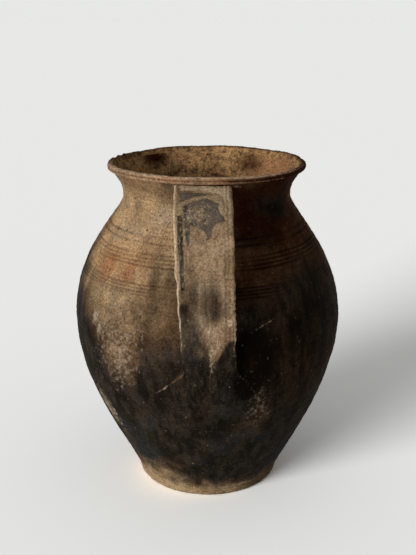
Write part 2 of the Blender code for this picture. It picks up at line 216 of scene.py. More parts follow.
@dataclass(frozen=True)
class Outline:
    """The thrown outline, as three Bezier stretches: foot to belly, belly to neck, neck to flare.

    A lean is in degrees from upright. A pull gives a stretch's two arms as shares of its rise.
    walls is the wall's thickness at foot, belly, neck and flare, points how many points each
    stretch has, and mouth_drift how far the axis moves aside over the height.
    """

    foot_level: float = 0.0070
    foot_radius: float = 0.0628
    belly_level: float = 0.1480
    belly_radius: float = 0.1134
    neck_level: float = 0.2525
    neck_radius: float = 0.0698
    flare_level: float = 0.2742
    flare_radius: float = 0.0787
    foot_lean: float = 17.0
    flare_lean: float = 24.0
    lower_pull: Pair = (0.15, 0.42)
    upper_pull: Pair = (0.56, 0.14)
    flare_pull: Pair = (0.55, 0.26)
    walls: tuple[float, ...] = (0.0090, 0.0065, 0.0056, 0.0042)
    points: int = 300
    height: float = 0.28
    foot_shift: float = 0.0006
    mouth_drift: float = 0.0014

    def outer(self) -> Grid:
        """The outer side from the foot to the flare, upwards, as rows of (reach, level)."""
        foot = np.array([self.foot_radius, self.foot_level])
        belly = np.array([self.belly_radius, self.belly_level])
        neck = np.array([self.neck_radius, self.neck_level])
        flare = np.array([self.flare_radius, self.flare_level])
        low, mid, top = belly[1] - foot[1], neck[1] - belly[1], flare[1] - neck[1]
        stretches = (
            (foot, leaning(self.foot_lean) * low * self.lower_pull[0],
             UPRIGHT * low * self.lower_pull[1], belly),
            (belly, UPRIGHT * mid * self.upper_pull[0], UPRIGHT * mid * self.upper_pull[1], neck),
            (neck, UPRIGHT * top * self.flare_pull[0],
             leaning(self.flare_lean) * top * self.flare_pull[1], flare),
        )
        curves = [bezier(*stretch, self.points) for stretch in stretches]
        return np.vstack([curves[0], curves[1][1:], curves[2][1:]])

    def inner(self) -> Grid:
        """The outer side moved inwards, square to itself, by the wall's thickness there."""
        outer = self.outer()
        levels = (self.foot_level, self.belly_level, self.neck_level, self.flare_level)
        along = directions(outer)
        wall = np.interp(outer[:, 1], levels, self.walls)
        return outer + np.stack([-along[:, 1], along[:, 0]], -1) * wall[:, None]

    def outer_reach(self, level: Grid) -> Grid:
        """Reach of the outer side at levels."""
        curve = self.outer()
        return np.interp(level, curve[:, 1], curve[:, 0])

    def inner_reach(self, level: Grid) -> Grid:
        """Reach of the inner side at levels."""
        curve = self.inner()
        return np.interp(level, curve[:, 1], curve[:, 0])

    def lean(self, level: Grid) -> Grid:
        """Sideways drift of the axis: the jug stands a hair to the left at its mouth."""
        return self.foot_shift - self.mouth_drift * level / self.height


OUTLINE = Outline()


@dataclass(frozen=True)
class IncisedBand:
    """Lines cut round the shoulder with a comb while the jug turned.

    wander is how far a line strays. Its strength varies by fading about the usual one, between
    the weakest and the strongest.
    """

    top: float
    pitch: float
    count: int
    depth: float
    width: float = 0.00072
    wander: float = 0.00022
    fading: float = 0.3
    usual: float = 0.80
    weakest: float = 0.30
    strongest: float = 1.2

    def depth_at(self, azimuth: Grid, level: Grid) -> Grid:
        """Depth of the band's grooves: bell curves about lines that wander and fade."""
        wander = Waves(int(self.top * 1e4), self.wander, (1, 6), (1.0, 2.0), 6)
        fade = Waves(int(self.top * 2e4), self.fading, (1, 9), (0.02, 0.05), 8)
        drift = wander.at(azimuth, np.zeros(1))
        strength = np.clip(self.usual + fade.at(azimuth, level), self.weakest, self.strongest)
        total = np.zeros(level.shape)
        for index in range(self.count):
            line = self.top - self.pitch * index + drift
            total += self.depth * strength * bump(level, line, self.width)
        return total


@dataclass(frozen=True)
class WallRelief:
    """Unevenness of the thrown wall, outside and inside, in metres outwards.

    pit_dirt is the share of a pit's depth that counts as dirt, and full_depth is the depth of
    a line that holds the full amount.
    """

    bands: tuple[IncisedBand, ...] = (
        IncisedBand(0.2320, 0.0045, 2, 0.00058),
        IncisedBand(0.2200, 0.0027, 4, 0.00054),
        IncisedBand(0.1995, 0.0024, 4, 0.00048),
    )
    sway: Waves = Waves(11, 0.00030, (1, 4), (0.09, 0.30), 10)
    rings: Waves = Waves(12, 0.00007, (0, 1), (0.004, 0.010), 16)
    wiping: Waves = Waves(13, 0.00006, (6, 30), (0.010, 0.050), 30)
    lumps: Waves = Waves(14, 0.00010, (4, 16), (0.025, 0.080), 24)
    pits: Pits = Pits(15, 150, (0.012, 0.268), (0.0006, 0.0017), 0.00045)
    dings: Pits = Pits(16, 22, (0.015, 0.268), (0.0025, 0.0055), 0.00045)
    inner_rings: Waves = Waves(17, 0.00022, (0, 2), (0.007, 0.016), 14)
    pit_dirt: float = 0.8
    full_depth: float = 0.00045

    def outside(self, azimuth: Grid, level: Grid) -> Grid:
        """Outwards shift of the outer side: sway, throwing rings, wiping, dents and grooves."""
        shift = self.sway.at(azimuth, level) + self.rings.at(azimuth, level)
        shift += self.wiping.at(azimuth, level) + self.lumps.at(azimuth, level)
        reach = OUTLINE.outer_reach(level)
        shift -= self.pits.at(azimuth, level, reach) + self.dings.at(azimuth, level, reach)
        return shift - self.grooves(azimuth, level)

    def grooves(self, azimuth: Grid, level: Grid) -> Grid:
        """Depth of all the incised lines."""
        return sum(band.depth_at(azimuth, level) for band in self.bands)

    def dirt(self, azimuth: Grid, level: Grid) -> Grid:
        """How much dirt lies in the incised lines and pits, from 0 to about 1."""
        pits = self.pits.at(azimuth, level, OUTLINE.outer_reach(level))
        return (self.grooves(azimuth, level) + self.pit_dirt * pits) / self.full_depth

    def inside(self, azimuth: Grid, level: Grid) -> Grid:
        """Outwards shift of the inner side: the same sway, and the fingers' rings."""
        return self.sway.at(azimuth, level) + self.inner_rings.at(azimuth, level)


RELIEF = WallRelief()


def place(azimuth: Grid, reach: Grid, level: Grid) -> Grid:
    """Points (x, y, z) of an azimuth, a reach and a level, with the axis's drift."""
    x = reach * np.sin(azimuth) + OUTLINE.lean(level)
    y = -reach * np.cos(azimuth)
    return np.stack(np.broadcast_arrays(x, y, level), -1)


class Stain(Enum):
    """Kinds of stain that a surface carries as amounts at its points.

    Smoke is a thin brown layer and soot the black over it. On the right, the side away from the
    lamp, both also paint shade, and the blackest soot paints the strap's cast shadow. Red is clay
    fired to brick, lime a pale bloom, bare the clean clay of foot and wear, and crust the grey slip
    left in a flake; lime and bare also paint highlights on the strap's left edge, its top, the
    upper-left edge of its flake and the left crest of its tail. Inside is the inner side's own
    colour, and dirt is what lies in lines and pits.
    """

    SMOKE = "smoke"
    SOOT = "soot"
    RED = "red"
    LIME = "lime"
    BARE = "bare"
    CRUST = "crust"
    INSIDE = "inside"
    DIRT = "dirt"


Marks = dict[Stain, Grid]


def unmarked(shape: tuple[int, ...]) -> Marks:
    """Marks with nothing yet of any stain."""
    return {stain: np.zeros(shape) for stain in Stain}


def add_object(name: str, data: bpy.types.ID) -> bpy.types.Object:
    """Puts a new object with its data into the scene."""
    made = bpy.data.objects.new(name, data)
    bpy.context.scene.collection.objects.link(made)
    return made


def grid_faces(rows: int, columns: int, closed: bool) -> tuple[NDArray, NDArray]:
    """The faces of a grid of points whose columns join up.

    Args:
        rows: How many rows the grid has.
        columns: How many columns it has.
        closed: Whether the last row joins the first. If it doesn't, two further points stand
            after the grid's own, one in the middle of each end.

    Returns:
        The four-sided and the three-sided faces, as rows of the numbers of their points.
    """
    index = np.arange(rows * columns).reshape(rows, columns)
    after = np.roll(index, -1, axis=1)
    corners = [index, after, np.roll(after, -1, axis=0), np.roll(index, -1, axis=0)]
    quads = np.stack(corners, -1)[:rows if closed else rows - 1].reshape(-1, 4)
    if closed:
        return quads, np.zeros((0, 3), int)
    start = np.stack([after[0], index[0], np.full(columns, index.size)], -1)
    stop = np.stack([index[-1], after[-1], np.full(columns, index.size + 1)], -1)
    return quads, np.vstack([start, stop])


def add_surface(name: str, points: Grid, closed: bool, marks: Marks) -> bpy.types.Object:
    """Makes a grid of points one closed mesh.

    The grid's columns always join up. Its rows join up too, which makes a ring, or else each
    end is closed with a fan of triangles about the end row's middle.

    Args:
        name: Name of the object.
        points: Grid of rows by columns by (x, y, z).
        closed: Whether the last row joins the first.
        marks: Amounts of stains, each a grid of rows by columns.

    Returns:
        The new object, in the scene, with faces outwards.
    """
    quads, triangles = grid_faces(*points.shape[:2], closed)
    vertices = points.reshape(-1, 3)
    if not closed:
        vertices = np.vstack([vertices, points[0].mean(0), points[-1].mean(0)])
    a, b, c = (vertices[quads[:, corner]] for corner in (0, 1, 2))
    if np.einsum("ij,ij->", a, np.cross(b, c)) < 0.0:
        quads, triangles = quads[:, ::-1], triangles[:, ::-1]
    mesh = bpy.data.meshes.new(name)
    mesh.vertices.add(len(vertices))
    mesh.vertices.foreach_set("co", vertices.astype(np.float32).ravel())
    corners = np.concatenate([quads.ravel(), triangles.ravel()]).astype(np.int32)
    starts = np.concatenate([np.arange(len(quads)) * 4, quads.size + np.arange(len(triangles)) * 3])
    mesh.loops.add(len(corners))
    mesh.loops.foreach_set("vertex_index", corners)
    mesh.polygons.add(len(starts))
    mesh.polygons.foreach_set("loop_start", starts.astype(np.int32))
    mesh.update(calc_edges=True)
    mesh.validate()
    mesh.shade_smooth()
    mesh.set_sharp_from_angle(angle=SHARP_ANGLE)
    for stain, amounts in marks.items():
        values = np.clip(amounts, 0.0, MOST_STAIN)
        if not closed:
            values = np.concatenate([values.ravel(), [values[0].mean(), values[-1].mean()]])
        attribute = mesh.attributes.new(stain.value, "FLOAT", "POINT")
        attribute.data.foreach_set("value", values.astype(np.float32).ravel())
    return add_object(name, mesh)


@dataclass(frozen=True)
class Patch:
    """A soft oval of one stain on the wall.

    Its amount is 1 - smooth_step of the distance from its middle, measured in its own two half
    axes, and it fades over a share of them on both sides of the oval's edge.
    """

    stain: Stain
    azimuth: float
    level: float
    half_width: float
    half_height: float
    amount: float = 1.0
    softness: float = 0.6
    lean: float = 0.0

    def at(self, azimuth: Grid, level: Grid, reach: Grid) -> Grid:
        """Amount of the stain at points of the wall."""
        across = away_from(azimuth, math.radians(self.azimuth)) * reach
        up = level - self.level
        lean = math.radians(self.lean)
        along = across * math.cos(lean) + up * math.sin(lean)
        over = up * math.cos(lean) - across * math.sin(lean)
        distance = np.hypot(along / self.half_width, over / self.half_height)
        return self.amount * (1.0 - smooth_step(distance, 1.0 - self.softness, 1.0 + self.softness))


def patches_of(stain: Stain, *rows: tuple[float, ...]) -> tuple[Patch, ...]:
    """Patches of one stain, each row giving Patch's further fields in their order."""
    return tuple(Patch(stain, *row) for row in rows)


def around(azimuth: Grid, stations: Pairs) -> Grid:
    """A value that changes round the jug, in straight lines between (degrees, value) stations."""
    degrees, values = np.array(stations).T
    return np.interp(np.degrees(azimuth), degrees, values, period=360.0)


@dataclass(frozen=True)
class Field:
    """A stain's amount all over the wall, given at azimuths of a few levels.

    Each row is a level and its (degrees, amount) stations. Between stations and between levels
    the amount runs in straight lines, and beyond the end levels it stays as it is there.
    """

    rows: tuple[tuple[float, Pairs], ...]

    def at(self, azimuth: Grid, level: Grid) -> Grid:
        """Amount at points of the wall."""
        row_at = np.interp(level, [row[0] for row in self.rows], np.arange(len(self.rows)))
        total = np.zeros(azimuth.shape)
        for index, (_, stations) in enumerate(self.rows):
            total += around(azimuth, stations) * np.clip(1.0 - np.abs(row_at - index), 0.0, 1.0)
        return total


@dataclass(frozen=True)
class WallStains:
    """Where fire, soot and lime have marked the wall, outside and inside.

    soot_top and bare_top are the levels, round the jug, where the soot ends and where the bare
    foot ends, each blurred by its own half height. On the right, the side away from the lamp, the
    smoke runs heavier and soot_top stands higher, partly as painted shade. filled is how much
    dirt the incised lines hold round the jug. inner_smoke is the smoke at the mouth and what is
    added to it below, over the levels of inner_depth.
    """

    # Heavier at positive azimuths, on the right away from the lamp: partly smoke, partly painted shade.
    smoke: Field = Field((
        (0.006, ((-170, 0.40), (-90, 0.20), (-50, 0.05), (-20, 0.08), (0, 0.16), (20, 0.34),
                 (40, 0.62), (90, 0.70), (150, 0.55))),
        (0.040, ((-170, 0.75), (-90, 0.70), (-50, 0.44), (-20, 0.60), (15, 0.70), (40, 0.88),
                 (120, 0.85))),
        (0.150, ((-170, 0.80), (-110, 0.85), (-62, 0.90), (-40, 0.74), (-20, 0.78), (0, 0.86),
                 (20, 1.05), (60, 1.10), (120, 0.95))),
        (0.190, ((-170, 0.55), (-120, 0.60), (-84, 0.56), (-66, 0.04), (-45, 0.20), (-28, 0.50),
                 (-12, 0.70), (10, 0.84), (30, 0.94), (60, 1.00), (110, 0.90), (150, 0.70))),
        (0.215, ((-170, 0.30), (-120, 0.42), (-90, 0.38), (-74, 0.06), (-60, -0.06), (-40, 0.02),
                 (-18, 0.14), (8, 0.68), (20, 0.78), (60, 0.90), (110, 0.80), (150, 0.50))),
        (0.245, ((-170, 0.25), (-120, 0.35), (-85, 0.22), (-60, 0.00), (-30, 0.00), (-15, 0.14),
                 (10, 1.00), (30, 1.10), (55, 1.10), (75, 0.85), (110, 0.70), (150, 0.42))),
        (0.266, ((-170, 0.45), (-120, 0.50), (-70, 0.46), (-45, 0.45), (-20, 0.56), (10, 0.98),
                 (24, 0.98), (50, 1.10), (80, 0.90), (120, 0.65))),
    ))
    soot_top: Pairs = (
        (-180, 0.150), (-140, 0.168), (-110, 0.186), (-84, 0.205), (-74, 0.198), (-64, 0.187),
        (-56, 0.172), (-49, 0.155), (-43, 0.132), (-34, 0.131), (-24, 0.153), (-12, 0.165), (10, 0.171),
        (24, 0.172), (40, 0.190), (60, 0.200), (90, 0.205), (125, 0.190), (155, 0.160),
    )
    soot_blur: float = 0.030
    bare_top: Pairs = (
        (-180, 0.018), (-120, 0.018), (-75, 0.0175), (-50, 0.0175), (-30, 0.0155), (-8, 0.0110),
        (6, 0.0100), (22, 0.0115), (42, 0.0115), (70, 0.0120), (120, 0.017),
    )
    bare_blur: float = 0.0180
    filled: Pairs = (
        (-180, 0.80), (-95, 0.50), (-20, 0.60), (10, 1.00), (120, 1.00))
    patches: tuple[Patch, ...] = (
        *patches_of(Stain.RED,
            (-47, 0.2130, 0.034, 0.012, 0.35), (-50, 0.2040, 0.026, 0.013, 0.28, 0.8),
            (-51.5, 0.2035, 0.0060, 0.0085, 0.85, 0.5), (-37.0, 0.2040, 0.0052, 0.0075, 0.66, 0.5),
            (-72, 0.2230, 0.022, 0.010, 0.25), (-30, 0.2240, 0.018, 0.007, 0.16),
            (25, 0.2150, 0.034, 0.024, 0.55), (22, 0.2560, 0.024, 0.014, 0.60),
            (140, 0.2200, 0.040, 0.030, 0.50), (-8, 0.0960, 0.012, 0.011, 0.9, 0.8, 55)),
        *patches_of(Stain.LIME,
            (-27, 0.2470, 0.010, 0.007, 0.55, 0.9), (-48, 0.2330, 0.028, 0.008, 0.35, 0.9),
            (-41, 0.1550, 0.016, 0.031, 0.38, 0.95, -22), (-35, 0.1340, 0.010, 0.024, 0.30, 0.95, -22),
            (-26, 0.1740, 0.004, 0.017, 0.20, 0.9), (-52, 0.1670, 0.0034, 0.0050, 0.90, 0.98, -30),
            (-49, 0.1590, 0.0018, 0.0050, 0.60, 0.98, -20),
            (-57, 0.0800, 0.009, 0.018, 0.62, 0.98, 20), (22, 0.1020, 0.009, 0.022, 0.27, 0.95),
            # The thin line at azimuth -17.4 carries the painted highlight of the tail's left crest onto
            # the wall.
            (-44, 0.1920, 0.020, 0.012, 0.24, 0.9), (-17.4, 0.1218, 0.0076, 0.0008, 0.66, 0.8, 38),
            (-62, 0.2180, 0.012, 0.012, 0.22, 0.95), (-16.5, 0.2722, 0.0060, 0.0012, 0.55, 0.9, 8),
            (17.0, 0.2722, 0.0050, 0.0012, 0.26, 0.9, -8), (26, 0.0092, 0.022, 0.0015, 0.55, 0.8),
            (21.7, 0.1712, 0.0130, 0.0006, 0.44, 0.6, 22)),
        # From azimuth 16 to 62 these patches partly paint shade on the right, away from the lamp; those
        # at 16 and 18 beside the strap's tail and at 37 and 52 on the neck are partly soot and partly
        # the strap's painted cast shadow, blacker than full soot.
        *patches_of(Stain.SOOT,
            (-23.7, 0.2048, 0.0050, 0.0080, 0.37, 0.6), (-15.5, 0.2060, 0.0044, 0.0080, 0.36, 0.6),
            (-21.5, 0.2104, 0.0150, 0.0026, 0.21, 0.7), (-25.0, 0.1790, 0.010, 0.021, 0.34, 0.9),
            (22, 0.1020, 0.011, 0.026, -0.45, 0.9), (52, 0.2490, 0.013, 0.007, 1.70, 0.98),
            (37, 0.2530, 0.010, 0.006, 0.85, 0.98), (18, 0.1500, 0.016, 0.036, 1.10, 0.9),
            (44, 0.1850, 0.030, 0.022, 0.55, 0.9), (28, 0.2300, 0.020, 0.008, 0.35, 0.9),
            (62, 0.2650, 0.020, 0.008, 0.45, 0.9), (30, 0.2640, 0.014, 0.007, 0.38, 0.9),
            (16, 0.1380, 0.010, 0.020, 0.60, 0.8), (-36, 0.2450, 0.020, 0.006, 0.22, 0.9, 10),
            (-84, 0.2250, 0.018, 0.030, 0.30, 0.9), (-2, 0.0042, 0.0050, 0.0007, 0.70, 0.6, -14),
            (-13, 0.0052, 0.0045, 0.0007, 0.60, 0.6, 22), (5, 0.0030, 0.0040, 0.0006, 0.55, 0.6, 12),
            (-9, 0.0070, 0.005, 0.004, 0.75, 0.8)),
        *patches_of(Stain.BARE,
            (-30, 0.0290, 0.020, 0.012, 0.33, 0.6)),
    )
    inner_patches: tuple[Patch, ...] = (
        *patches_of(Stain.SMOKE,
            (-140, 0.2730, 0.012, 0.0060, 1.00, 0.98), (146, 0.2670, 0.012, 0.008, 0.60, 0.9),
            # The negative patch at azimuth -108 is painted light: it lightens the inner left, which the
            # lamp leaves in shade.
            (180, 0.2520, 0.030, 0.010, 0.40, 0.9), (-108, 0.2720, 0.024, 0.012, -0.30, 0.4)),
        *patches_of(Stain.RED,
            (118, 0.2620, 0.028, 0.018, 0.85, 0.6), (-168, 0.2710, 0.026, 0.007, 0.25, 0.6)),
    )
    inner_depth: Pair = (0.215, 0.262)
    inner_smoke: Pair = (0.18, 0.35)

    def at(self, azimuth: Grid, level: Grid) -> Marks:
        """Amounts of every stain at points of the outer side."""
        reach = OUTLINE.outer_reach(level)
        marks = unmarked(azimuth.shape)
        marks[Stain.SMOKE] += self.smoke.at(azimuth, level)
        for stain, stations, blur in ((Stain.SOOT, self.soot_top, self.soot_blur),
                                      (Stain.BARE, self.bare_top, self.bare_blur)):
            marks[stain] += 1.0 - smooth_step(level - around(azimuth, stations), -blur, blur)
        for patch in self.patches:
            marks[patch.stain] += patch.at(azimuth, level, reach)
        marks[Stain.DIRT] += RELIEF.dirt(azimuth, level) * around(azimuth, self.filled)
        return marks

    def inside(self, azimuth: Grid, level: Grid) -> Marks:
        """Amounts of every stain at points of the inner side, which darkens downwards."""
        reach = OUTLINE.inner_reach(level)
        marks = unmarked(azimuth.shape)
        marks[Stain.INSIDE] += 1.0
        at_mouth, added = self.inner_smoke
        marks[Stain.SMOKE] += at_mouth + added * smooth_fall(level, *self.inner_depth)
        for patch in self.inner_patches:
            marks[patch.stain] += patch.at(azimuth, level, reach)
        return marks

    def both(self, azimuth: Grid, level: Grid, inside: Grid) -> Marks:
        """The outer side's amounts, and the inner side's where a point is inside."""
        outer, inner = self.at(azimuth, level), self.inside(azimuth, level)
        return {stain: np.where(inside, inner[stain], outer[stain]) for stain in Stain}


@dataclass(frozen=True)
class LipStains:
    """Where fire and wear have marked the lip band.

    Its top edge and its lower corner are worn pale in front, and its top edge is smoked at the
    back. Its right side, away from the lamp, is smoked and sooted more heavily, partly as painted
    shade. Each line round it is a bell curve of the level.
    """

    # Heavier on the right, away from the lamp: partly smoke, partly painted shade.
    smoke: Pairs = (
        (-180, 0.80), (-130, 0.72), (-100, 0.42), (-70, 0.22), (-40, 0.22), (-12, 0.14), (8, 0.28),
        (18, 0.72), (50, 1.00), (90, 1.10), (130, 1.00),
    )
    red: Pairs = (
        (-180, 0.0), (-120, 0.0), (-90, 0.05), (-45, 0.00), (-25, 0.28), (10, 0.36), (25, 0.28),
        (60, 0.15), (100, 0.05),
    )
    top_edge: float = 0.2797
    middle: float = 0.2774
    lower_corner: float = 0.2757
    fine: float = 0.0006

    def at(self, azimuth: Grid, reach: Grid, level: Grid) -> Marks:
        """Amounts of every stain at points of the band."""
        marks = unmarked(azimuth.shape)
        inside = smooth_fall(reach, 0.0780, 0.0792)
        marks[Stain.INSIDE] += inside
        marks[Stain.SMOKE] += around(azimuth, self.smoke) * (1.0 - inside) + 0.22 * inside
        marks[Stain.RED] += around(azimuth, self.red) * (1.0 - inside)
        front = smooth_step(np.cos(azimuth), -0.2, 0.6)
        edge = bump(level, self.top_edge, self.fine) * smooth_step(reach, 0.0770, 0.0785)
        outer = smooth_step(reach, 0.0780, 0.0800)
        # right darkens the side away from the lamp with soot that partly paints shade, and dims the
        # pale top edge there.
        right = smooth_step(np.sin(azimuth), 0.45, 0.95) * (1.0 - inside)
        marks[Stain.LIME] += edge * (0.10 + 0.90 * front) * (1.0 - 0.55 * right)
        marks[Stain.SOOT] += 0.34 * right
        marks[Stain.SMOKE] += 0.45 * bump(level, self.top_edge, 0.0008) * (1.0 - front)
        marks[Stain.LIME] += 0.38 * bump(level, self.lower_corner, self.fine) * outer * front
        belt = 0.40 * bump(level, self.middle, 0.0007) * outer
        marks[Stain.SMOKE] += (belt - 0.3 * edge) * front
        return marks


@dataclass(frozen=True)
class Blot:
    """A stain with an outline of its own on the strap, as corners of (across, run) in mm.

    blur is how far it fades in and out of its outline, in mm as well.
    """

    stain: Stain
    amount: float
    blur: float
    corners: Pairs

    def at(self, across: Grid, run: Grid) -> Grid:
        """Amount at points: 1 well inside the outline, 0 well outside, and 0.5 on it.

        The distance to the outline is the least distance to any of its sides, and a point is
        inside when a line from it crosses the outline an odd number of times.
        """
        points = np.stack([across, run], -1) / MM
        corners = np.array(self.corners, float)
        nearest = np.full(across.shape, np.inf)
        inside = np.zeros(across.shape, bool)
        for start, end in zip(corners, np.roll(corners, -1, axis=0)):
            side = end - start
            share = np.clip(((points - start) @ side) / (side @ side), 0.0, 1.0)[..., None]
            nearest = np.minimum(nearest, np.linalg.norm(points - start - share * side, axis=-1))
            spans = (start[1] > points[..., 1]) != (end[1] > points[..., 1])
            slope = np.divide(side[0], side[1], out=np.zeros(()), where=side[1] != 0.0)
            inside ^= spans & (points[..., 0] < start[0] + (points[..., 1] - start[1]) * slope)
        signed = np.where(inside, nearest, -nearest)
        return self.amount * smooth_step(signed, -self.blur, self.blur)


def blots_of(stain: Stain, *rows: tuple) -> tuple[Blot, ...]:
    """Blots of one stain, each row giving its amount, its blur and its corners."""
    return tuple(Blot(stain, amount, blur, tuple(corners)) for amount, blur, *corners in rows)


# Distances of the strap's two scored lines from its right edge.
SCORED_AT = (0.0038, 0.0066)


@dataclass(frozen=True)
class StrapStains:
    """Where soot, slip and lime have marked the strap, across it and along its run.

    The crust of slip lies in the flake below the root and in two strips down the left side. Pale
    lime runs down the middle above the tail, and the soot climbs up from the tail on both sides of
    it; beside the right of the tail it is partly the strap's painted cast shadow. smoked and sooted
    are the stretches of the run over which the strap darkens and goes black, and joined is the one
    over which it takes the wall's own stains. The left arris and the scored lines fade in over
    their levels, and the right arris is pale about its level, over a half height. The left arris's
    pale line is partly wear and partly a painted highlight from the lamp on the left. Pale strips
    on the left side, the top and the flake's upper-left edge are partly painted highlights too, and
    the tail's left crest is a painted highlight.
    """

    blots: tuple[Blot, ...] = (
        *blots_of(Stain.CRUST,
            (1, 1.3, (-11.5, 29.9), (-7.2, 27.9), (-2.9, 25.6), (2.2, 24.3), (7.2, 27.9),
             (12.1, 31.1), (10.6, 33.9), (11.9, 39.2), (14.6, 42.5), (15.2, 44.8), (13.8, 46.3),
             (9.5, 47.1), (7.3, 49.4), (5.8, 52.9), (4.6, 57.7), (2.5, 57.7), (1.2, 54.9),
             (-0.5, 52.7), (-3.3, 51.9), (-5.7, 50.1), (-8.5, 49.1), (-9.5, 47.1)),
            (-0.46, 3.2, (-10, 32), (-2, 29.8), (3.6, 34), (3, 44), (0.4, 50), (-8.8, 46.5)),
            (1, 1, (-14, 33), (-9.4, 30.5), (-9.6, 48.6), (-10, 61), (-11.3, 63.5), (-12.8, 60.8),
             (-13.4, 48.6)),
            (1, 1, (-18.6, 42), (-15.4, 40), (-14.8, 59), (-14.5, 74.7), (-15.2, 93.2), (-17.6, 93.9),
             (-18, 72.9), (-18.8, 59)),
            (0.74, 1.4, (-18.2, 17.5), (-9.4, 16), (8.1, 18), (-2.1, 21.8), (-12.3, 25.6),
             (-17.3, 29.9))),
        *blots_of(Stain.LIME,
            (0.26, 2, (-11, 29), (1, 25), (6, 31), (5, 48), (-4, 51), (-11, 46)),
            (0.22, 1.5, (-19, 44), (-14, 34), (-9, 34), (-9, 62), (-14, 92), (-18, 93)),
            (0.30, 1.8, (-1, 123.3), (6.3, 120), (12.7, 120.8), (12.1, 131.4), (7.8, 141.8),
             (3.9, 148.9), (2.6, 160), (1.6, 164.6), (0.4, 153.4), (-0.8, 135.7)),
            (0.14, 1, (-0.6, 138), (4.6, 142), (3.4, 150), (2.6, 160), (1.4, 166), (0.2, 153)),
            (0.26, 4, (-7, 112.2), (-0.5, 108.9), (3.5, 116.7), (-2.1, 133.2), (-7.1, 129.9)),
            (0.24, 1.6, (9.2, 88), (12.2, 88), (12.4, 119), (9.8, 117)),
            (0.16, 0.9, (21, 165), (27.9, 171.6), (32.2, 178.5), (34.4, 184.6), (33, 184.6),
             (30.8, 179.4), (27, 173)),
            (1.3, 0.5, (14.3, 116), (17.2, 115.2), (18.2, 118.5), (17.1, 120.9), (15.2, 120.4),
             (16.4, 117.8)),
            (0.50, 0.8, (19.4, 108), (22.4, 108), (22.4, 135.7), (19.2, 135.7)),
            # Across the strap's top: partly a pale deposit and partly painted light on the top, which
            # lies in the lip's shade.
            (0.68, 2.5, (-18.6, 3), (18.6, 3), (19.6, 24), (16, 29), (12, 18), (-4, 13), (-17, 14)),
            # Along the upper-left edge of the flake: partly pale clay and partly a painted highlight
            # where the edge faces the lamp.
            (0.34, 1, (-19.4, 27), (-14, 27.6), (-6, 23.4), (3, 20), (2, 23.5), (-6, 26), (-13, 30),
             (-16.4, 36), (-19.6, 38))),
        *blots_of(Stain.SOOT,
            (0.55, 0.9, (-14.9, 31), (-11.4, 31), (-11, 48.6), (-10.6, 60), (-11.6, 63), (-13, 58),
             (-14.2, 48.6)),
            (0.72, 0.8, (-18.4, 42), (-15.1, 41), (-14.6, 59), (-15, 74.7), (-15.4, 92.2),
             (-17.4, 92.9), (-17.8, 72.9), (-18.6, 59)),
            (0.72, 4.5, (-22, 102), (-15, 104), (-8, 116), (-4.5, 126), (-1, 138), (1, 152), (2, 166),
             (-30, 172)),
            # Beside the right of the tail: partly soot and partly the strap's painted cast shadow,
            # blacker than full soot.
            (1.15, 2.5, (15.5, 134), (24, 132), (28, 172), (4, 168), (5.5, 152), (10.5, 143)),
            (0.56, 7, (-18, 88), (-4, 86), (6, 90), (14, 98), (15, 114), (4, 118), (-1, 124),
             (-8, 114), (-18, 104)),
            (0.14, 2.2, (3.4, 110), (6.6, 106), (6.2, 124), (3.8, 131)),
            (0.15, 8, (-10, 98), (18, 100), (20, 134), (12, 142), (-2, 140))),
        *blots_of(Stain.SMOKE,
            (0.10, 9, (-16, 76), (-2, 80), (9, 78), (16, 74), (16, 124), (-16, 128))),
        *blots_of(Stain.BARE,
            # A painted highlight along the tail's left crest, where the lamp catches it, in the colour
            # of bare clay.
            (0.85, 0.8, (-19.2, 160), (-18.4, 162.5), (-20.6, 166.8), (-25.3, 171.8), (-31.7, 177.7),
             (-37.9, 179.8), (-37.5, 178), (-31, 175.2), (-24.7, 169), (-20.3, 164.2)),
            # Along the strap's left side: partly worn bare clay and partly a painted highlight where
            # the lamp catches that edge.
            (0.62, 0.8, (-22, 10), (-19.2, 10), (-18.8, 40), (-18.9, 64), (-19.4, 92), (-22, 92)),
            # Along the upper-left edge of the flake: partly bare clay and partly a painted highlight
            # where the edge faces the lamp.
            (0.70, 0.9, (-19.4, 27), (-14, 27.6), (-6, 23.4), (3, 20), (2, 22.5), (-6, 25.4),
             (-14, 29), (-19.6, 34))),
    )
    left_levels: Pair = (0.140, 0.200)
    right_levels: Pair = (0.182, 0.030)
    scored_levels: Pair = (0.170, 0.200)
    smoked: Pair = (0.104, 0.170)
    sooted: Pair = (0.140, 0.172)
    joined: Pair = (0.150, 0.176)
    of_the_wall: tuple[Stain, ...] = (Stain.SMOKE, Stain.SOOT, Stain.RED, Stain.INSIDE)

    def at(self, across: Grid, half: Grid, run: Grid, level: Grid, outer: Grid,
           wall: Marks) -> Marks:
        """Amounts of every stain at points of the strap.

        Args:
            across: Distance from the strap's middle line, positive to the right.
            half: Half the strap's width there.
            run: Length of the path from the root.
            level: Level of the strap's middle line there.
            outer: How far a point belongs to the outer face, 0 to 1.
            wall: The wall's own marks at the same places.

        Returns:
            The marks: blots on the outer face, worn arrises, dirt in the scored lines, soot
            from the middle downwards, and the wall's marks towards the tail.
        """
        marks = unmarked(across.shape)
        face = smooth_step(outer, 0.2, 0.6)
        for blot in self.blots:
            marks[blot.stain] += blot.at(across, run) * face
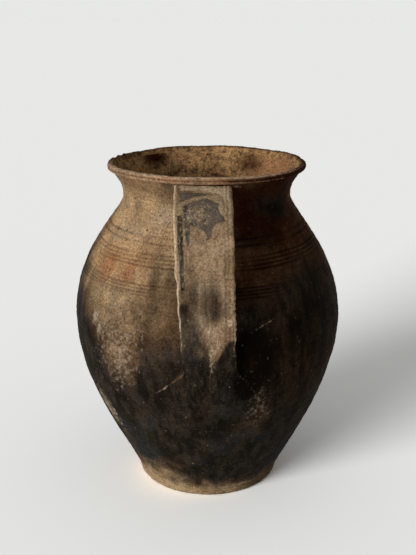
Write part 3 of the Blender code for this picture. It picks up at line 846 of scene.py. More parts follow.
        # The left arris's pale line is partly wear and partly a painted highlight from the lamp on the
        # left; the right arris is worn pale.
        left = bump(across, -(half - 0.0007), 0.0009) * smooth_step(level, *self.left_levels)
        right = bump(across, half - 0.0006, 0.0010) * bump(level, *self.right_levels)
        marks[Stain.LIME] += 0.78 * left + 0.50 * right
        for inwards in SCORED_AT:
            scored = bump(across, half - inwards, 0.0007) * smooth_step(level, *self.scored_levels)
            marks[Stain.SMOKE] += 0.28 * scored * face
        high = smooth_fall(run, *self.smoked)
        marks[Stain.SMOKE] += (0.04 + 0.42 * (1.0 - high)) * face + 0.75 * (1.0 - face)
        marks[Stain.SOOT] += 1.0 - smooth_fall(run, *self.sooted)
        marks[Stain.SMOKE] += 0.25 * smooth_fall(across, -0.014, -0.002) * face
        marks[Stain.SOOT] = np.minimum(marks[Stain.SOOT], 1.0)
        tail = smooth_step(run, *self.joined)
        for stain in self.of_the_wall:
            marks[stain] = marks[stain] * (1.0 - tail) + wall[stain] * tail
        return marks


STAINS = WallStains()
LIP_STAINS = LipStains()
STRAP_STAINS = StrapStains()


@dataclass
class Bench:
    """A node tree being filled: each method adds to it and gives what it has added."""

    tree: Tree

    def node(self, kind: str, **settings: str | bool) -> bpy.types.Node:
        """Adds a node with its settings."""
        made = self.tree.nodes.new(kind)
        for name, value in settings.items():
            setattr(made, name, value)
        return made

    def feed(self, socket: Socket, source: Input) -> None:
        """Links an output to a socket, or sets the socket's own value."""
        if isinstance(source, Socket):
            self.tree.links.new(source, socket)
        elif isinstance(source, tuple) and socket.type == "RGBA":
            socket.default_value = (*source, 1.0)
        else:
            socket.default_value = source

    def made(self, kind: str, sources: tuple[Input, ...], **settings: str | bool) -> Socket:
        """Adds a node, feeds its first inputs in order and gives its first output."""
        node = self.node(kind, **settings)
        for socket, source in zip(node.inputs, sources):
            self.feed(socket, source)
        return node.outputs[0]

    def times(self, first: Input, second: Input) -> Socket:
        """The product of two numbers."""
        return self.made("ShaderNodeMath", (first, second), operation="MULTIPLY")

    def plus(self, first: Input, second: Input) -> Socket:
        """The sum of two numbers."""
        return self.made("ShaderNodeMath", (first, second), operation="ADD")

    def minus(self, first: Input, second: Input) -> Socket:
        """The first number less the second."""
        return self.made("ShaderNodeMath", (first, second), operation="SUBTRACT")

    def below(self, first: Input, second: Input) -> Socket:
        """1 where the first number is less than the second, and 0 elsewhere."""
        return self.made("ShaderNodeMath", (first, second), operation="LESS_THAN")

    def span(self, value: Input, low: Input, high: Input, start: Input = 0.0,
             end: Input = 1.0) -> Socket:
        """Carries low to high over to start to end, along a smooth step, and holds it there."""
        return self.made("ShaderNodeMapRange", (value, low, high, start, end),
                         interpolation_type="SMOOTHSTEP")

    def mix(self, share: Input, first: Input, second: Input, blend: str = "MIX") -> Socket:
        """Mixes two colours by a share."""
        node = self.node("ShaderNodeMix", data_type="RGBA", blend_type=blend)
        for index, source in ((0, share), (6, first), (7, second)):
            self.feed(node.inputs[index], source)
        return node.outputs[2]

    def times_colour(self, first: Input, second: Input) -> Socket:
        """The product of two colours."""
        return self.mix(1.0, first, second, "MULTIPLY")

    def scaled(self, vector: Input, scale: Triple) -> Socket:
        """Stretches coordinates along the axes."""
        return self.made("ShaderNodeVectorMath", (vector, scale), operation="MULTIPLY")

    def named(self, kind: str, **sources: Input) -> bpy.types.Node:
        """Adds a node whose inputs are fed by their lower-case names."""
        return self.feed_named(self.node(kind), sources)

    def feed_named(self, node: bpy.types.Node, sources: dict[str, Input]) -> bpy.types.Node:
        """Feeds a node's inputs by their lower-case names and gives the node."""
        for socket in node.inputs:
            if socket.name.lower() in sources:
                self.feed(socket, sources[socket.name.lower()])
        return node

    def noise(self, vector: Input, scale: Input, detail: float, roughness: float) -> Socket:
        """Fractal noise about 0.5."""
        return self.named("ShaderNodeTexNoise", vector=vector, scale=scale, detail=detail,
                          roughness=roughness).outputs[0]

    def amount(self, stain: Stain) -> Socket:
        """A stain's amount, as the piece's mesh carries it."""
        node = self.node("ShaderNodeAttribute", attribute_type="GEOMETRY",
                         attribute_name=stain.value)
        return node.outputs["Fac"]

    def group(self, tree: Tree, **sources: Input) -> bpy.types.Node:
        """Places a group, whose inputs are fed by their lower-case names."""
        node = self.node("ShaderNodeGroup")
        node.node_tree = tree
        return self.feed_named(node, sources)


class Effect:
    """A node group that several finishes share, and the bench on which it is built."""

    def __init__(self, name: str, vectors: str, numbers: str, outputs: str) -> None:
        """Starts a group. Its vectors and numbers go in, and its outputs are numbers.

        Args:
            name: The group's name.
            vectors: Names of the vectors that go in, with spaces between them.
            numbers: Names of the numbers that go in.
            outputs: Names of the numbers that come out.
        """
        self.tree = bpy.data.node_groups.new(name, "ShaderNodeTree")
        for labels, way, kind in ((vectors, "INPUT", "NodeSocketVector"),
                                  (numbers, "INPUT", "NodeSocketFloat"),
                                  (outputs, "OUTPUT", "NodeSocketFloat")):
            for label in labels.split():
                self.tree.interface.new_socket(label, in_out=way, socket_type=kind)
        self.bench = Bench(self.tree)
        self.source = self.bench.node("NodeGroupInput").outputs
        self.sink = self.bench.node("NodeGroupOutput").inputs


def ragged_edge() -> Tree:
    """A stain's amount broken up by noise: the mask climbs where amount plus noise passes a half."""
    effect = Effect("Ragged edge", "Vector", "Amount Scale Roughen Blur", "Mask")
    bench, source = effect.bench, effect.source
    coarse = bench.noise(source["Vector"], source["Scale"], 6.0, 0.62)
    shift = bench.times(bench.minus(coarse, 0.5), source["Roughen"])
    shifted = bench.plus(source["Amount"], shift)
    low, high = bench.minus(0.5, source["Blur"]), bench.plus(0.5, source["Blur"])
    bench.feed(effect.sink["Mask"], bench.span(shifted, low, high))
    return effect.tree


def clay_grain() -> Tree:
    """Sandy fired clay: a mottled tone about 1, and the height of grains and wiped streaks.

    The tone is 1 + contrast (0.7 blotch + 2.9 sand + 0.7 wiped - 2.15), where 2.15 is the sum's
    middle, and the height is 0.6 sand + 0.8 wiped.
    """
    effect = Effect("Clay grain", "Vector Wiped", "Scale Contrast", "Tone Height")
    bench, source = effect.bench, effect.source
    blotch = bench.noise(source["Vector"], bench.times(source["Scale"], 0.16), 5.0, 0.6)
    sand = bench.noise(source["Vector"], source["Scale"], 5.0, 0.7)
    wiped = bench.noise(source["Wiped"], bench.times(source["Scale"], 0.12), 4.0, 0.6)
    total = bench.plus(bench.plus(bench.times(blotch, 0.7), bench.times(sand, 2.9)),
                       bench.times(wiped, 0.7))
    off = bench.times(bench.minus(total, 2.15), source["Contrast"])
    bench.feed(effect.sink["Tone"], bench.plus(off, 1.0))
    bench.feed(effect.sink["Height"], bench.plus(bench.times(sand, 0.6), bench.times(wiped, 0.8)))
    return effect.tree


def specks() -> Tree:
    """Small round specks: discs about strewn points, of which only a share is kept."""
    effect = Effect("Specks", "Vector", "Scale Share Size", "Mask")
    bench, source = effect.bench, effect.source
    cells = bench.named("ShaderNodeTexVoronoi", vector=source["Vector"], scale=source["Scale"])
    parts = bench.named("ShaderNodeSeparateColor", color=cells.outputs["Color"])
    kept = bench.below(parts.outputs[0], source["Share"])
    size = bench.times(source["Size"], bench.plus(parts.outputs[1], 0.35))
    disc = bench.span(cells.outputs["Distance"], size, bench.times(size, 0.5))
    bench.feed(effect.sink["Mask"], bench.times(disc, kept))
    return effect.tree


@dataclass(frozen=True)
class Edge:
    """How ragged a stain's edge is: its noise's scale, the noise's share and the half blur."""

    scale: float
    roughen: float
    blur: float


EDGES = {
    Stain.RED: Edge(60.0, 1.3, 0.55), Stain.SMOKE: Edge(62.0, 0.75, 0.62),
    Stain.SOOT: Edge(48.0, 1.2, 0.55), Stain.LIME: Edge(290.0, 1.7, 0.34),
    Stain.BARE: Edge(95.0, 1.4, 0.45), Stain.CRUST: Edge(420.0, 1.3, 0.12),
}

# Scale, detail and roughness of the clay's noises.
BROAD, FINE, CRUMBS = (26.0, 5.0, 0.6), (105.0, 6.0, 0.72), (190.0, 6.0, 0.75)

# Scale, share kept, size and strength of the specks.
PALE_SPECKS, DARK_SPECKS = (420.0, 0.02, 0.36, 0.35), (300.0, 0.06, 0.38, 0.55)


@dataclass(frozen=True)
class ClayFinish:
    """Unglazed fired clay with its stains. Colours are linear.

    The clay is a broad mottle of khaki and tan outside, and of the inner colours inside. Full smoke
    multiplies it by a deep warm brown tint, which also paints shade on the right, away from the
    lamp. Soot is olive or blue where it is thin, brown under heavy smoke, where it also paints shade
    on the right, and burnt black where it is heaviest, which also paints the strap's cast shadow.
    wiping and wash stretch the noise of the wiped streaks and of the stains that ran, and running
    names those stains.
    """

    name: str
    khaki: Colour = (0.275, 0.186, 0.100)
    tan: Colour = (0.450, 0.292, 0.152)
    red: Colour = (0.310, 0.150, 0.070)
    inner: Colour = (0.430, 0.250, 0.105)
    inner_dark: Colour = (0.130, 0.072, 0.038)
    film: Colour = (0.085, 0.033, 0.016)
    char: Colour = (0.0036, 0.0019, 0.0009)
    soot: Colour = (0.0088, 0.0065, 0.0045)
    soot_olive: Colour = (0.033, 0.0252, 0.0172)
    soot_blue: Colour = (0.0178, 0.0182, 0.0176)
    soot_brown: Colour = (0.0265, 0.0155, 0.0085)
    lime: Colour = (0.305, 0.230, 0.158)
    bare: Colour = (0.365, 0.250, 0.142)
    crust: Colour = (0.118, 0.091, 0.066)
    dirt: Colour = (0.30, 0.24, 0.20)
    roughness: float = 0.82
    soot_roughness: float = 0.70
    shine: float = 0.015
    relief: float = 0.00045
    relief_share: float = 0.8
    crust_height: float = 0.35
    grain_scale: float = 640.0
    contrast: float = 1.15
    wiping: Triple = (1.0, 1.0, 9.0)
    wash: Triple = (1.0, 1.0, 0.30)
    running: tuple[Stain, ...] = (Stain.SOOT,)

    def colour(self, bench: Bench, place_in: Socket, effects: "Effects",
               grain: bpy.types.Node) -> tuple[Socket, dict[Stain, Socket]]:
        """Lays the stains over each other.

        Args:
            bench: The material's nodes.
            place_in: Coordinates of the surface.
            effects: The shared groups.
            grain: The placed grain group.

        Returns:
            The colour, and the mask of every stain.
        """
        washed = bench.scaled(place_in, self.wash)
        broad, crumbs = bench.noise(place_in, *BROAD), bench.noise(place_in, *CRUMBS)
        fine = bench.noise(washed, *FINE)
        masks = {
            stain: bench.group(
                effects.ragged, vector=washed if stain in self.running else place_in,
                amount=bench.amount(stain), scale=edge.scale, roughen=edge.roughen,
                blur=edge.blur).outputs["Mask"]
            for stain, edge in EDGES.items()
        }
        clay = bench.mix(bench.span(broad, 0.38, 0.62), self.khaki, self.tan)
        inner = bench.mix(bench.span(crumbs, 0.40, 0.56), self.inner_dark, self.inner)
        colour = bench.mix(bench.amount(Stain.INSIDE), clay, inner)
        colour = bench.mix(masks[Stain.BARE], colour, self.bare)
        colour = bench.mix(masks[Stain.RED], colour, self.red)
        colour = bench.times_colour(
            colour, bench.mix(masks[Stain.SMOKE], (1.0, 1.0, 1.0), self.film))
        colour = bench.mix(bench.amount(Stain.DIRT), colour, bench.times_colour(colour, self.dirt))
        colour = bench.mix(masks[Stain.CRUST], colour, self.crust)
        masks[Stain.SOOT] = bench.times(masks[Stain.SOOT], bench.minus(1.0, masks[Stain.BARE]))
        colour = bench.mix(masks[Stain.SOOT], colour, self.black(bench, broad, fine))
        colour = bench.mix(masks[Stain.LIME], colour, self.lime)
        for speck, (scale, share, size, strength) in ((self.lime, PALE_SPECKS),
                                                      (self.soot, DARK_SPECKS)):
            disc = bench.group(effects.specks, vector=place_in, scale=scale, share=share, size=size)
            colour = bench.mix(bench.times(disc.outputs[0], strength), colour, speck)
        tone = bench.made("ShaderNodeCombineColor", (grain.outputs["Tone"],) * 3)
        return bench.times_colour(colour, tone), masks

    def black(self, bench: Bench, broad: Input, fine: Input) -> Socket:
        """The soot's own colour, from a broad and a fine noise and the amounts of stains; it also
        colours the painted shade on the right and the strap's painted shadow.
        """
        olive = bench.mix(bench.span(fine, 0.40, 0.66), self.soot, self.soot_olive)
        # These smoke and soot amounts also carry painted shade on the right, away from the lamp.
        smoke, soot = bench.amount(Stain.SMOKE), bench.amount(Stain.SOOT)
        cold = bench.times(bench.span(broad, 0.50, 0.66), bench.span(smoke, 0.98, 0.82))
        thin = bench.mix(cold, olive, self.soot_blue)
        brown = bench.mix(bench.span(fine, 0.36, 0.64), self.char, self.soot_brown)
        heavy = bench.mix(bench.span(smoke, 0.88, 1.04), thin, brown)
        return bench.mix(bench.span(soot, 1.02, 1.70), heavy, self.char)

    def build(self, effects: "Effects") -> bpy.types.Material:
        """Makes the material: colour, a roughness that falls on soot and on the painted shade that
        shares its amounts, and the grain's bump.
        """
        material = bpy.data.materials.new(self.name)
        material.use_nodes = True
        bench = Bench(material.node_tree)
        shader = material.node_tree.nodes["Principled BSDF"]
        place_in = bench.node("ShaderNodeTexCoord").outputs["Object"]
        grain = bench.group(effects.grain, vector=place_in, wiped=bench.scaled(place_in, self.wiping),
                            scale=self.grain_scale, contrast=self.contrast)
        colour, masks = self.colour(bench, place_in, effects, grain)
        bench.feed(shader.inputs["Base Color"], colour)
        sooty = bench.times(masks[Stain.SOOT], bench.minus(1.0, masks[Stain.LIME]))
        bench.feed(shader.inputs["Roughness"],
                   bench.span(sooty, 0.0, 1.0, self.roughness, self.soot_roughness))
        height = bench.plus(grain.outputs["Height"],
                            bench.times(masks[Stain.CRUST], self.crust_height))
        raised = bench.named("ShaderNodeBump", strength=self.relief_share, distance=self.relief,
                             height=height)
        bench.feed(shader.inputs["Normal"], raised.outputs[0])
        shader.inputs["Specular IOR Level"].default_value = self.shine
        return material


@dataclass
class Effects:
    """The shared groups, and the materials that have been made with them."""

    ragged: Tree
    grain: Tree
    specks: Tree
    made: dict[str, bpy.types.Material] = field(default_factory=dict)

    def material(self, finish: ClayFinish) -> bpy.types.Material:
        """The finish's material, made when it is first wanted."""
        if finish.name not in self.made:
            self.made[finish.name] = finish.build(self)
        return self.made[finish.name]


WALL_FINISH = ClayFinish("fired wall clay")
FOOT_FINISH = ClayFinish("bare foot clay")
LIP_FINISH = ClayFinish("worn lip clay", khaki=(0.300, 0.190, 0.108), tan=(0.390, 0.250, 0.145),
                        red=(0.360, 0.150, 0.070), lime=(0.380, 0.260, 0.165))
STRAP_FINISH = ClayFinish("handled strap clay", khaki=(0.268, 0.172, 0.096), tan=(0.400, 0.284, 0.174),
                          lime=(0.480, 0.362, 0.232), wiping=(3.0, 3.0, 0.30), contrast=1.10,
                          wash=(2.4, 2.4, 0.42), running=(Stain.LIME, Stain.SOOT, Stain.SMOKE))
LUTING_FINISH = ClayFinish("luting clay")


@dataclass
class WallRing:
    """One ring of the wall between two seams, as a closed ring of clay."""

    name: str
    node: str
    slot: str
    low: float
    high: float
    step: float = 0.0011
    inner_step: float = 0.0022
    low_scarf: float = 0.0040
    high_scarf: float = 0.0040
    columns: int = 640

    def sides(self, inner_end: float) -> tuple[Grid, Grid]:
        """The outer side up, and the inner side down to a level, as rows of (reach, level)."""
        outer = spaced(self.low, self.high, self.step)
        inner = spaced(self.high + self.high_scarf, inner_end, self.inner_step)
        return (np.stack([OUTLINE.outer_reach(outer), outer], -1),
                np.stack([OUTLINE.inner_reach(inner), inner], -1))

    def profile(self) -> tuple[Grid, Grid]:
        """The ring's section: its outer side upwards, and its inner side downwards."""
        return self.sides(self.low + self.low_scarf)

    def build(self) -> bpy.types.Object:
        """Makes the ring: its section turned round the axis, each side with its relief."""
        outer, inner = self.profile()
        azimuth, reach, level = turned(np.vstack([outer, inner]), self.columns)
        inside = (np.arange(len(azimuth)) >= len(outer))[:, None]
        relief = np.where(inside, RELIEF.inside(azimuth, level), RELIEF.outside(azimuth, level))
        marks = STAINS.both(azimuth, level, inside)
        return add_surface(self.name, place(azimuth, reach + relief, level), True, marks)


@dataclass
class LowestRing(WallRing):
    """The lowest ring, which stands on the foot and has a rounded corner on the floor."""

    seat_reach: float = 0.0538
    floor_step: float = 0.0030
    floor_level: float = 0.0100
    fillet: float = 0.0080
    fillet_share: float = 0.55
    fillet_points: int = 8

    def profile(self) -> tuple[Grid, Grid]:
        """The section, whose inner side ends in a Bezier fillet, the toe and the bevelled seat."""
        outside, inside = self.sides(self.floor_level + self.fillet)
        falling = inside[-1] - inside[-2]
        falling /= np.linalg.norm(falling)
        toe = np.array([self.seat_reach - self.floor_step, self.floor_level])
        arm = self.fillet * self.fillet_share
        corner = bezier(inside[-1], falling * arm, -OUTWARDS * arm, toe, self.fillet_points)
        return outside, np.vstack([inside, corner[1:], [self.seat_reach, self.low]])


@dataclass(frozen=True)
class Chip:
    """A bite out of an edge: how far it goes in and down, a few degrees round an azimuth."""

    azimuth: float
    half_width: float
    depth: float
    drop: float
    flat_share: float = 0.55

    def share(self, azimuth: Grid) -> Grid:
        """How much of the chip is there at azimuths, in radians, with fairly steep flanks."""
        off = np.abs(away_from(azimuth, math.radians(self.azimuth)))
        return 1.0 - smooth_step(off / math.radians(self.half_width), self.flat_share, 1.0)


@dataclass
class LipBand:
    """The squared band laid on the flared mouth, worn and chipped along its outer edge.

    Its corners are rows of (reach, level), from the seat up the outer side and down to
    inner_level. dip is how far the wave lies below the top, and proud is how far knocks may
    stand out sideways and upwards. Wear grows over the reaches of outwards and the levels of
    upwards, and nothing moves at the seat, below free_level.
    """

    name: str = "lip_ring"
    node: str = "lip_band"
    slot: str = "lip_clay"
    columns: int = 640
    corners: Pairs = (
        (0.07870, 0.27420), (0.07990, 0.27425), (0.08085, 0.27445), (0.08140, 0.27500),
        (0.08185, 0.27600), (0.08200, 0.27700), (0.08195, 0.27800), (0.08165, 0.27890),
        (0.08110, 0.27955), (0.08030, 0.27988), (0.07930, 0.28000), (0.07830, 0.27998),
        (0.07740, 0.27980), (0.07670, 0.27935), (0.07625, 0.27860), (0.07590, 0.27750),
        (0.07540, 0.27640),
    )
    wave: Waves = Waves(31, 0.00028, (2, 9), (1.0, 2.0), 12)
    knocks: Waves = Waves(32, 0.00016, (14, 60), (0.004, 0.012), 40)
    grain: Waves = Waves(33, 0.00006, (60, 140), (0.002, 0.006), 60)
    chips: tuple[Chip, ...] = (
        Chip(-104, 4.5, 0.0022, 0.0012), Chip(-113, 2.8, 0.0014, 0.0016),
        Chip(-121, 3.5, 0.0012, 0.0008), Chip(38, 2.2, 0.0008, 0.0006),
        Chip(152, 3.2, 0.0012, 0.0010), Chip(-24, 1.6, 0.0006, 0.0005),
    )
    inner_level: float = 0.2754
    rows: int = 56
    dip: float = 0.00035
    proud: Pair = (0.00008, 0.00004)
    outwards: Pair = (0.0780, 0.0816)
    upwards: Pair = (0.2752, 0.2796)
    free_level: float = 0.2760

    def build(self) -> bpy.types.Object:
        """Makes the band: a closed section turned round, less its chips, plus its knocks.

        The section's points are read at even steps. Each chip pulls the outer points inwards and
        the upper points down, in proportion to how far out and how high they stand.
        """
        inner_end = [float(OUTLINE.inner_reach(np.array(self.inner_level))), self.inner_level]
        section = evenly(np.vstack([self.corners, inner_end]), self.rows)
        azimuth, reach, level = turned(section, self.columns)
        out = smooth_step(reach, *self.outwards)
        high = smooth_step(level, *self.upwards)
        free = smooth_step(level, OUTLINE.flare_level, self.free_level)
        sway = RELIEF.outside(azimuth, np.full(level.shape, OUTLINE.flare_level))
        new_reach, new_level = reach + sway, level.copy()
        new_level -= free * np.maximum(self.wave.at(azimuth, level * 0.0) + self.dip, 0.0)
        knock = self.knocks.at(azimuth, reach - level)
        new_reach += (np.minimum(knock, self.proud[0]) + self.grain.at(azimuth, level)) * free
        new_level += (np.minimum(knock, self.proud[1]) + self.grain.at(azimuth, reach)) * high
        for chip in self.chips:
            share = chip.share(azimuth)
            new_reach -= chip.depth * share * out
            new_level -= chip.drop * share * high * out
        marks = LIP_STAINS.at(azimuth, reach, level)
        return add_surface(self.name, place(azimuth, new_reach, new_level), True, marks)


@dataclass
class FootDisc:
    """The flat foot with its worn edge, whose raised middle is the jug's floor.

    The wall's sway comes in over the reaches of swaying, and wear over those of worn_reach,
    about the level of worn_corner. The spiral dies out over the reaches of spiral_reach.
    skin is the least step by which levels are told apart.
    """

    name: str = "foot_slab"
    node: str = "foot_disc"
    slot: str = "bare_foot_clay"
    columns: int = 640
    rest: float = 0.0598
    worn: float = 0.0614
    worn_level: float = 0.0016
    reach: float = 0.0628
    top: float = 0.0070
    seat: float = 0.0538
    floor_step: float = 0.0030
    floor: float = 0.0100
    middle: float = 0.0006
    edge: Waves = Waves(41, 0.00030, (8, 70), (0.004, 0.012), 50)
    least_wear: float = -0.0001
    swaying: Pair = (0.0500, 0.0612)
    worn_reach: Pair = (0.0585, 0.0610)
    worn_corner: Pair = (0.0010, 0.0030)
    spiral_pitch: float = 0.011
    spiral_height: float = 0.00022
    spiral_reach: Pair = (0.050, 0.044)
    skin: float = 1e-6

    def build(self) -> bpy.types.Object:
        """Makes the disc: a section from the underside's middle round to the floor's middle.

        The edge waves eat into the lower corner, and a slow spiral of the finger, a cosine of
        reach less a turn, lies on the floor. The ring that the disc rests on stays flat.
        """
        runs = (
            ((self.middle, 0.0), (self.rest, 0.0), 26),
            ((self.rest, 0.0), (self.worn, self.worn_level), 6),
            ((self.worn, self.worn_level), (self.reach, self.top), 12),
            ((self.reach, self.top), (self.seat, self.top), 6),
            ((self.seat, self.top), (self.seat - self.floor_step, self.floor), 4),
            ((self.seat - self.floor_step, self.floor), (self.middle, self.floor), 26),
        )
        section = np.vstack([np.linspace(start, end, count)[1:] for start, end, count in runs])
        azimuth, reach, level = turned(section, self.columns)
        side = smooth_step(reach, *self.swaying)
        sway = RELIEF.outside(azimuth, np.full(level.shape, self.top))
        wear = np.maximum(self.edge.at(azimuth, level), self.least_wear)
        eaten = wear * bump(level, *self.worn_corner) * smooth_step(reach, *self.worn_reach)
        spiral = np.cos(2 * np.pi * reach / self.spiral_pitch - azimuth)
        spiral = spiral * (level > self.floor - self.skin)
        new_reach = reach + side * sway - eaten
        new_level = level + self.spiral_height * spiral * smooth_step(reach, *self.spiral_reach)
        marks = STAINS.both(azimuth, level, level > self.top + self.skin)
        return add_surface(self.name, place(azimuth, new_reach, new_level), False, marks)


@dataclass
class PulledStrap:
    """The pulled strap: a section carried along a path, from the neck over to the belly.

    square holds the powers that square its section off, in the strap and in the tail. arris is
    the (inset, width, height) of the raised line inside the left edge, and each row of scored
    the (width, depth) of a groove inside the right edge. They run out over the levels of
    ridged. nicks is the (level, half height) of the nicked stretch of the right edge. smeared
    is the stretch of the root with slip on it, rim how far in the tail's edge is pressed down,
    and sink how deep it ends in the wall.
    """

    name: str = "pulled_strap"
    node: str = "handle_strap"
    slot: str = "strap_clay"
    root_width: float = 0.0434
    width: float = 0.0402
    root_thickness: float = 0.0100
    thickness: float = 0.0088
    dish: float = 0.0007
    under_lip: float = 0.0016
    embed: float = 0.0045
    trimmed: float = 0.0020
    proud: float = 0.0166
    crown_drop: float = 0.0315
    landing_drop: float = 0.0460
    offsets: Pair = (-0.0033, 0.0030)
    tail_drop: float = 0.0040
    tail_length: float = 0.0270
    tail_round: float = 0.0180
    tail_width: float = 0.0780
    tail_thickness: float = 0.0080
    tail_proud: float = 0.0014
    tail_end_share: float = 0.35
    bend_length: float = 0.0135
    arch_pull: Pair = (0.62, 0.50)
    fall_pull: Pair = (0.42, 0.32)
    square: Pair = (0.34, 0.55)
    rows: int = 380
    sides: int = 156
    path_points: int = 300
    arris: Triple = (0.0022, 0.0014, 0.00040)
    scored: Pairs = ((0.0008, 0.00042), (0.0007, 0.00030))
    nicks: Pair = (0.188, 0.022)
    ridged: Pair = (0.150, 0.180)
    smeared: Pair = (0.0010, 0.0160)
    rim: float = 0.0110
    sink: float = 0.0009
    luting_rise: float = 0.0019
    luting: Waves = Waves(55, 0.00040, (150, 500), (0.008, 0.030), 20, False)
    lumps: Waves = Waves(51, 0.00024, (60, 220), (0.014, 0.045), 24, False)
    drag: Waves = Waves(52, 0.00005, (350, 1500), (0.020, 0.090), 40, False)
    burr: Waves = Waves(53, 0.00032, (20, 60), (0.0022, 0.0080), 24, False)
    edge: Waves = Waves(54, 0.00025, (20, 60), (0.012, 0.045), 12, False)

    def path(self) -> Grid:
        """The strap's middle line, from inside the neck over the crown into the belly."""
        jug = OUTLINE
        root_level = jug.flare_level - self.under_lip - self.root_thickness / 2
        root = np.array([jug.outer_reach(root_level) - self.embed, root_level])
        crown = np.array([jug.belly_radius + self.proud - self.thickness / 2,
                          jug.neck_level - self.crown_drop])
        seat_level = jug.belly_level - self.landing_drop
        seat = np.array([jug.outer_reach(seat_level), seat_level])
        landing = seat + np.array([self.tail_proud - self.tail_thickness / 2, 0.0])
        rise = np.array([jug.outer_reach(seat_level + MM) - jug.outer_reach(seat_level - MM), 2 * MM])
        rise /= np.linalg.norm(rise)
        across, up = crown - root
        arch = bezier(root, OUTWARDS * across * self.arch_pull[0],
                      UPRIGHT * up * self.arch_pull[1], crown, self.path_points)
        drop = crown[1] - landing[1]
        fall = bezier(crown, -UPRIGHT * drop * self.fall_pull[0], -rise * drop * self.fall_pull[1],
                      landing, self.path_points)
        return np.vstack([arch, fall[1:]])

    def sizes(self, level: Grid, top: float, end: float) -> tuple[Grid, Grid, Grid]:
        """(width, thickness, spread) at levels of the path. Spread is 0 to 1 in the tail."""
        jug = OUTLINE
        spread = smooth_step((jug.belly_level - self.tail_drop - level) / self.tail_length, 0.0, 1.0)
        to_end = np.clip(1.0 - (level - end) / self.tail_round, 0.0, 1.0)
        rounding = np.sqrt(1.0 - (1.0 - self.tail_end_share**2) * to_end**2)
        fallen = np.clip((top - level) / (top - jug.belly_level), 0.0, 1.0)
        width = self.root_width + (self.width - self.root_width) * fallen
        thickness = self.root_thickness + (self.thickness - self.root_thickness) * fallen
        width = width + (self.tail_width - width) * spread
        thickness = thickness + (self.tail_thickness - thickness) * spread
        return width * rounding, thickness, spread

    def offset(self, level: Grid, top: float, end: float) -> Grid:
        """Sideways place of the strap's middle, which leans a little from root to landing."""
        fallen = (top - level) / (top - end)
        return self.offsets[0] + (self.offsets[1] - self.offsets[0]) * fallen

    def section_angles(self) -> Grid:
        """Angles at which the points of a squared oval of the strap's size lie evenly apart."""
        angle = np.linspace(0.0, 2 * np.pi, 4001)
        across = self.width / 2 * squared(np.cos(angle), self.square[0])
        depth = self.thickness / 2 * squared(np.sin(angle), self.square[0])
        run = length_along(np.stack([across, depth], -1))
        return np.interp(np.linspace(0.0, run[-1], self.sides, endpoint=False), run, angle)

    def face_relief(self, across: Grid, half: Grid, level: Grid, length: Grid) -> Grid:
        """Outwards shift of the strap's outer face.

        It is the sum of lumps, drawn lines along the strap, an arris along the left edge, and
        two grooves by the right edge, which run out below the middle.

        Args:
            across: Distance from the strap's middle line, positive to the right.
            half: Half the strap's width there.
            level: Level of the strap's middle line there.
            length: Length of the path from the root.

        Returns:
            The shift, in metres.
        """
        shift = self.lumps.at(across, length) + self.drag.at(across, length)
        upper = smooth_step(level, *self.ridged)
        inset, breadth, height = self.arris
        shift += height * bump(across, -(half - inset), breadth) * upper
        for inset, (breadth, depth) in zip(SCORED_AT, self.scored):
            shift -= depth * bump(across, half - inset, breadth) * upper
        smear = smooth_fall(length, *self.smeared)
        return shift + (self.luting_rise + self.luting.at(across, length)) * smear

    def pressed(self, x: Grid, y: Grid, level: Grid, held: Grid, tail: Grid) -> tuple[Grid, Grid]:
        """Sinks the outer face towards the wall.

        Args:
            x: Sideways place of the points.
            y: Their place towards the back.
            level: Their level.
            held: The share of its height over the wall that a point keeps, 1 for all of it.
            tail: Where a point lies on the tail's outer face and may only sink.

        Returns:
            The points' new x and y, on the same rays from the axis.
        """
        lean = OUTLINE.lean(level)
        wall = OUTLINE.outer_reach(level)
        radial = np.hypot(x - lean, y)
        proud = radial - wall
        sunk = proud * held - self.sink * (1.0 - held)
        factor = (wall + np.where(tail, np.minimum(sunk, proud), sunk)) / radial
        return lean + (x - lean) * factor, y * factor

    def build(self) -> bpy.types.Object:
        """Makes the strap.

        The section is a squared oval, dished outside. On the belly it is bent round the axis by
        reach - (r - sqrt(r^2 - x^2)), and the tail's outer face sinks into the wall towards its
        outline.
        """
        full = self.path()
        top, end = full[0, 1], full[-1, 1]
        path = evenly(full, self.rows)
        start = np.argmax(path[:, 0] > full[0, 0] + self.trimmed)
        run, path = length_along(path)[start:, None], path[start:]
        along = directions(path)
        width, thickness, spread = (v[:, None] for v in self.sizes(path[:, 1], top, end))
        angle = self.section_angles()[None, :]
        power = self.square[0] + (self.square[1] - self.square[0]) * spread
        across, depth = squared(np.cos(angle), power), squared(np.sin(angle), power)
        line, length = path[:, 1:] + 0.0 * across, run + 0.0 * across
        half = width / 2 + self.edge.at(np.sign(across) * 0.02, length)
        ragged = bump(line, *self.nicks) * smooth_step(across, 0.9, 1.0)
        half = half + self.burr.at(depth * 0.01, length) * ragged
        shift = half * across
        outer = smooth_step(depth, 0.0, 0.8)
        lift = thickness / 2 * depth - self.dish * np.maximum(0.0, depth) * (1.0 - across**2)
        lift += self.face_relief(shift, half, line, length) * outer
        lift -= self.lumps.at(shift + 0.3, length) * smooth_fall(depth, -0.8, 0.0)
        reach = path[:, :1] - along[:, 1:] * lift
        level = path[:, 1:] + along[:, :1] * lift
        wrap = reach - np.sqrt(np.maximum(0.0, reach**2 - shift**2))
        bend = smooth_step((OUTLINE.belly_level + self.tail_drop - line) / self.bend_length, 0.0, 1.0)
        rim = np.minimum(half * (1.0 - np.abs(across)), (line - end) * 0.8)
        held = 1.0 - spread * (1.0 - smooth_step(rim, 0.0, self.rim))
        held = np.where(outer > 0.0, held, 1.0)
        x, y = self.pressed(self.offset(line, top, end) + shift, -(reach - wrap * bend), level,
                            held, (outer > 0.0) & (spread > 0.0))
        wall_marks = STAINS.at(np.arctan2(x, -y), level)
